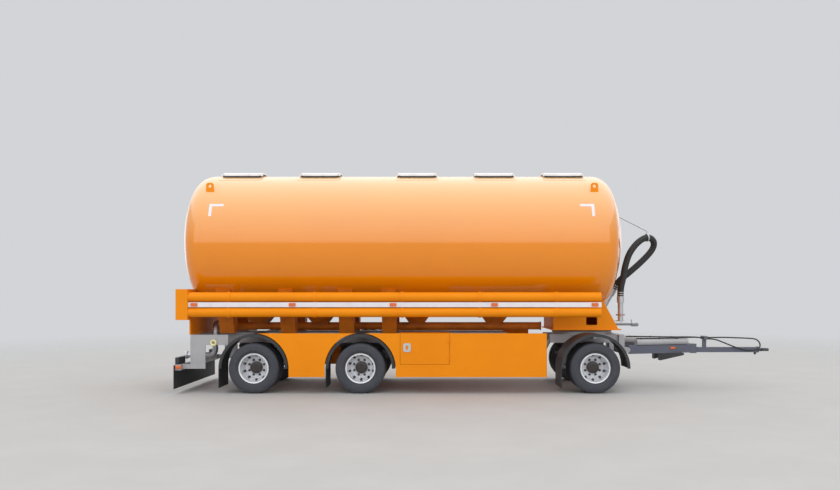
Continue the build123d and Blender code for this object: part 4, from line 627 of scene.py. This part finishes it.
arm_marker_x = 3.565
arm_marker_z = 0.720
arm_marker_half = (0.052, 0.014, 0.020)
arm_marker_edge = 0.006
arm_lean = math.atan2(0.360, 1.310)  # the arms close in by 360 mm over 1310 mm
beyond_arm_y = 1.5
bm = bmesh.new()
for side in (-1, 1):
    start = (arm_marker_x, side * beyond_arm_y, arm_marker_z)
    spot = nodes["drawbar_frame"].ray_cast(start, (0, -side, 0))[1]
    place = Matrix.Translation(spot) @ Matrix.Rotation(-side * arm_lean, 4, "Z")
    add_box(bm, [-half for half in arm_marker_half], arm_marker_half, arm_marker_edge, place)
add_piece("arm_markers", bm, amber_lens, "drawbar")

pin_middle = (5.18, 0, 0.606)
pin_foot_r = 0.020
pin_top_r = 0.024
pin_height = 0.046
bm = bmesh.new()
bmesh.ops.create_cone(
    bm, cap_ends=True, segments=32, radius1=pin_foot_r, radius2=pin_top_r, depth=pin_height,
    matrix=Matrix.Translation(pin_middle),
)
add_piece("tip_pin", bm, cast_steel, "drawbar")

# The air lines are rubber pipes, clipped along the tubes and let into the post.
line_r = 0.011
line_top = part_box("drawbar_pipes")[1][2] + line_r
line_places = (  # X, distance out from the middle, rise over the tubes
    (2.845, 0.398, 0.0), (3.05, 0.341, 0.0), (3.40, 0.245, 0.0), (3.70, 0.162, 0.0), (3.87, 0.114, 0.004),
    (4.02, 0.075, 0.006), (4.12, 0.050, 0.0), (4.198, 0.045, -0.006),
)
clip_places = ((2.93, 0.3745), (3.30, 0.2725), (3.66, 0.173))  # X, distance out from the middle
clip_half = 0.016
clip_wall = 0.004
clip_edge = 0.004
bm = bmesh.new()
for side in (-1, 1):
    for x, y in clip_places:
        add_box(
            bm,
            (x - clip_half, side * y - clip_half, line_top - line_r - clip_wall),
            (x + clip_half, side * y + clip_half, line_top + line_r + clip_wall),
            clip_edge,
        )
add_piece("air_line_clips", bm, black_plastic, "drawbar")


def add_tube(name, route, radius, body, round_steps, run_steps):
    curve = bpy.data.curves.new(name, "CURVE")
    curve.dimensions = "3D"
    curve.bevel_depth = radius
    curve.bevel_resolution = round_steps
    curve.resolution_u = run_steps
    curve.use_fill_caps = True
    spline = curve.splines.new("NURBS")
    spline.points.add(len(route) - 1)
    for point, place in zip(spline.points, route):
        point.co = (*place, 1.0)
    spline.order_u = 3
    spline.use_endpoint_u = True
    curve.materials.append(black_rubber)
    tube = bpy.data.objects.new(name, curve)
    scene.collection.objects.link(tube)
    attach(tube, body)
    return tube


for side, name in ((-1, "right"), (1, "left")):
    route = [(x, side * y, line_top + rise) for x, y, rise in line_places]
    add_tube(f"air_line_{name}", route, line_r, "drawbar", round_steps=4, run_steps=12)

cable_r = 0.0125
cable_route = (
    (4.2553, -0.080, 0.880), (4.390, -0.080, 0.880), (4.570, -0.090, 0.806), (4.790, -0.094, 0.716),
    (4.930, -0.096, 0.675), (5.045, -0.095, 0.660), (5.140, -0.092, 0.668), (5.210, -0.080, 0.686),
    (5.259, -0.056, 0.740), (5.259, -0.024, 0.812), (5.212, 0.008, 0.866), (5.140, 0.028, 0.880),
    (5.025, 0.038, 0.886), (4.830, 0.044, 0.893), (4.600, 0.044, 0.901), (4.420, 0.040, 0.897),
    (4.2553, 0.040, 0.897),
)
cable = add_tube("brake_cable", cable_route, cable_r, "drawbar", round_steps=6, run_steps=10)
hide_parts("drawbar_cable")

# Front pipework: galvanised pipes that rise from the pedestal's coupling to the blower hose.
# The smooth rubber hose folds over in a loop that a steel stay holds off the tank's head.
dress(zinc, "front_pipework", "hose_stay")
hose_r = 0.059
hose_route = (
    (2.545, 0.100, 1.810), (2.625, 0.100, 1.9543), (2.800, 0.102, 2.090), (3.010, 0.104, 2.270),
    (3.205, 0.100, 2.460), (3.300, 0.080, 2.600), (3.295, 0.045, 2.712), (3.205, 0.000, 2.785),
    (3.075, -0.045, 2.768), (2.925, -0.080, 2.660), (2.785, -0.098, 2.474), (2.712, -0.100, 2.240),
    (2.672, -0.100, 2.000), (2.625, -0.100, 1.815), (2.625, -0.100, 1.677),
)
hose = add_tube("blower_hose", hose_route, hose_r, "chassis", round_steps=6, run_steps=10)
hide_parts("transfer_hose")

# Rolled band steel: smooth bright metal, with a line of light round each band.
clamp_steel = finish(
    "rolled_band_steel", "#B4B6BA", roughness=0.3, soil="#8A8A8C", soil_share=0.35, soil_mm=20,
    grain_mm=2, grain_depth_mm=0.04, metallic=0.85,
)
band_r = 0.0635
band_width = 0.014
band_places = (0.030, 0.070)  # along the hose from each end
screw_r = 0.009
screw_length = 0.042
screw_out = 0.006
bm = bmesh.new()
for end, beyond in ((0, 1), (-1, -2)):
    start = Vector(hose_route[end])
    run = (Vector(hose_route[beyond]) - start).normalized()
    for along in band_places:
        lay = Matrix.Translation(start + run * along) @ run.to_track_quat("Z", "Y").to_matrix().to_4x4()
        bmesh.ops.create_cone(
            bm, cap_ends=True, segments=48, radius1=band_r, radius2=band_r, depth=band_width, matrix=lay
        )
        lift = Matrix.Translation((0, -band_r - screw_out, 0))
        bmesh.ops.create_cone(
            bm, cap_ends=True, segments=16, radius1=screw_r, radius2=screw_r, depth=screw_length,
            matrix=lay @ lift @ Matrix.Rotation(math.pi / 2, 4, "Y"),
        )
add_piece("hose_bands", bm, clamp_steel, "chassis")

# Gasket rubber: a thin dull red line between the flanges.
red_gasket = finish(
    "red_rubber_gasket", "#B4331E", roughness=0.5, soil="#7E3524", soil_share=0.4, soil_mm=30,
    grain_mm=3, grain_depth_mm=0.1,
)
gasket_middle = (hose_route[-1][0], hose_route[-1][1], 1.33)
gasket_r = 0.083
gasket_height = 0.012
bm = bmesh.new()
bmesh.ops.create_cone(
    bm, cap_ends=True, segments=48, radius1=gasket_r, radius2=gasket_r, depth=gasket_height,
    matrix=Matrix.Translation(gasket_middle),
)
add_piece("flange_gasket", bm, red_gasket, "chassis")
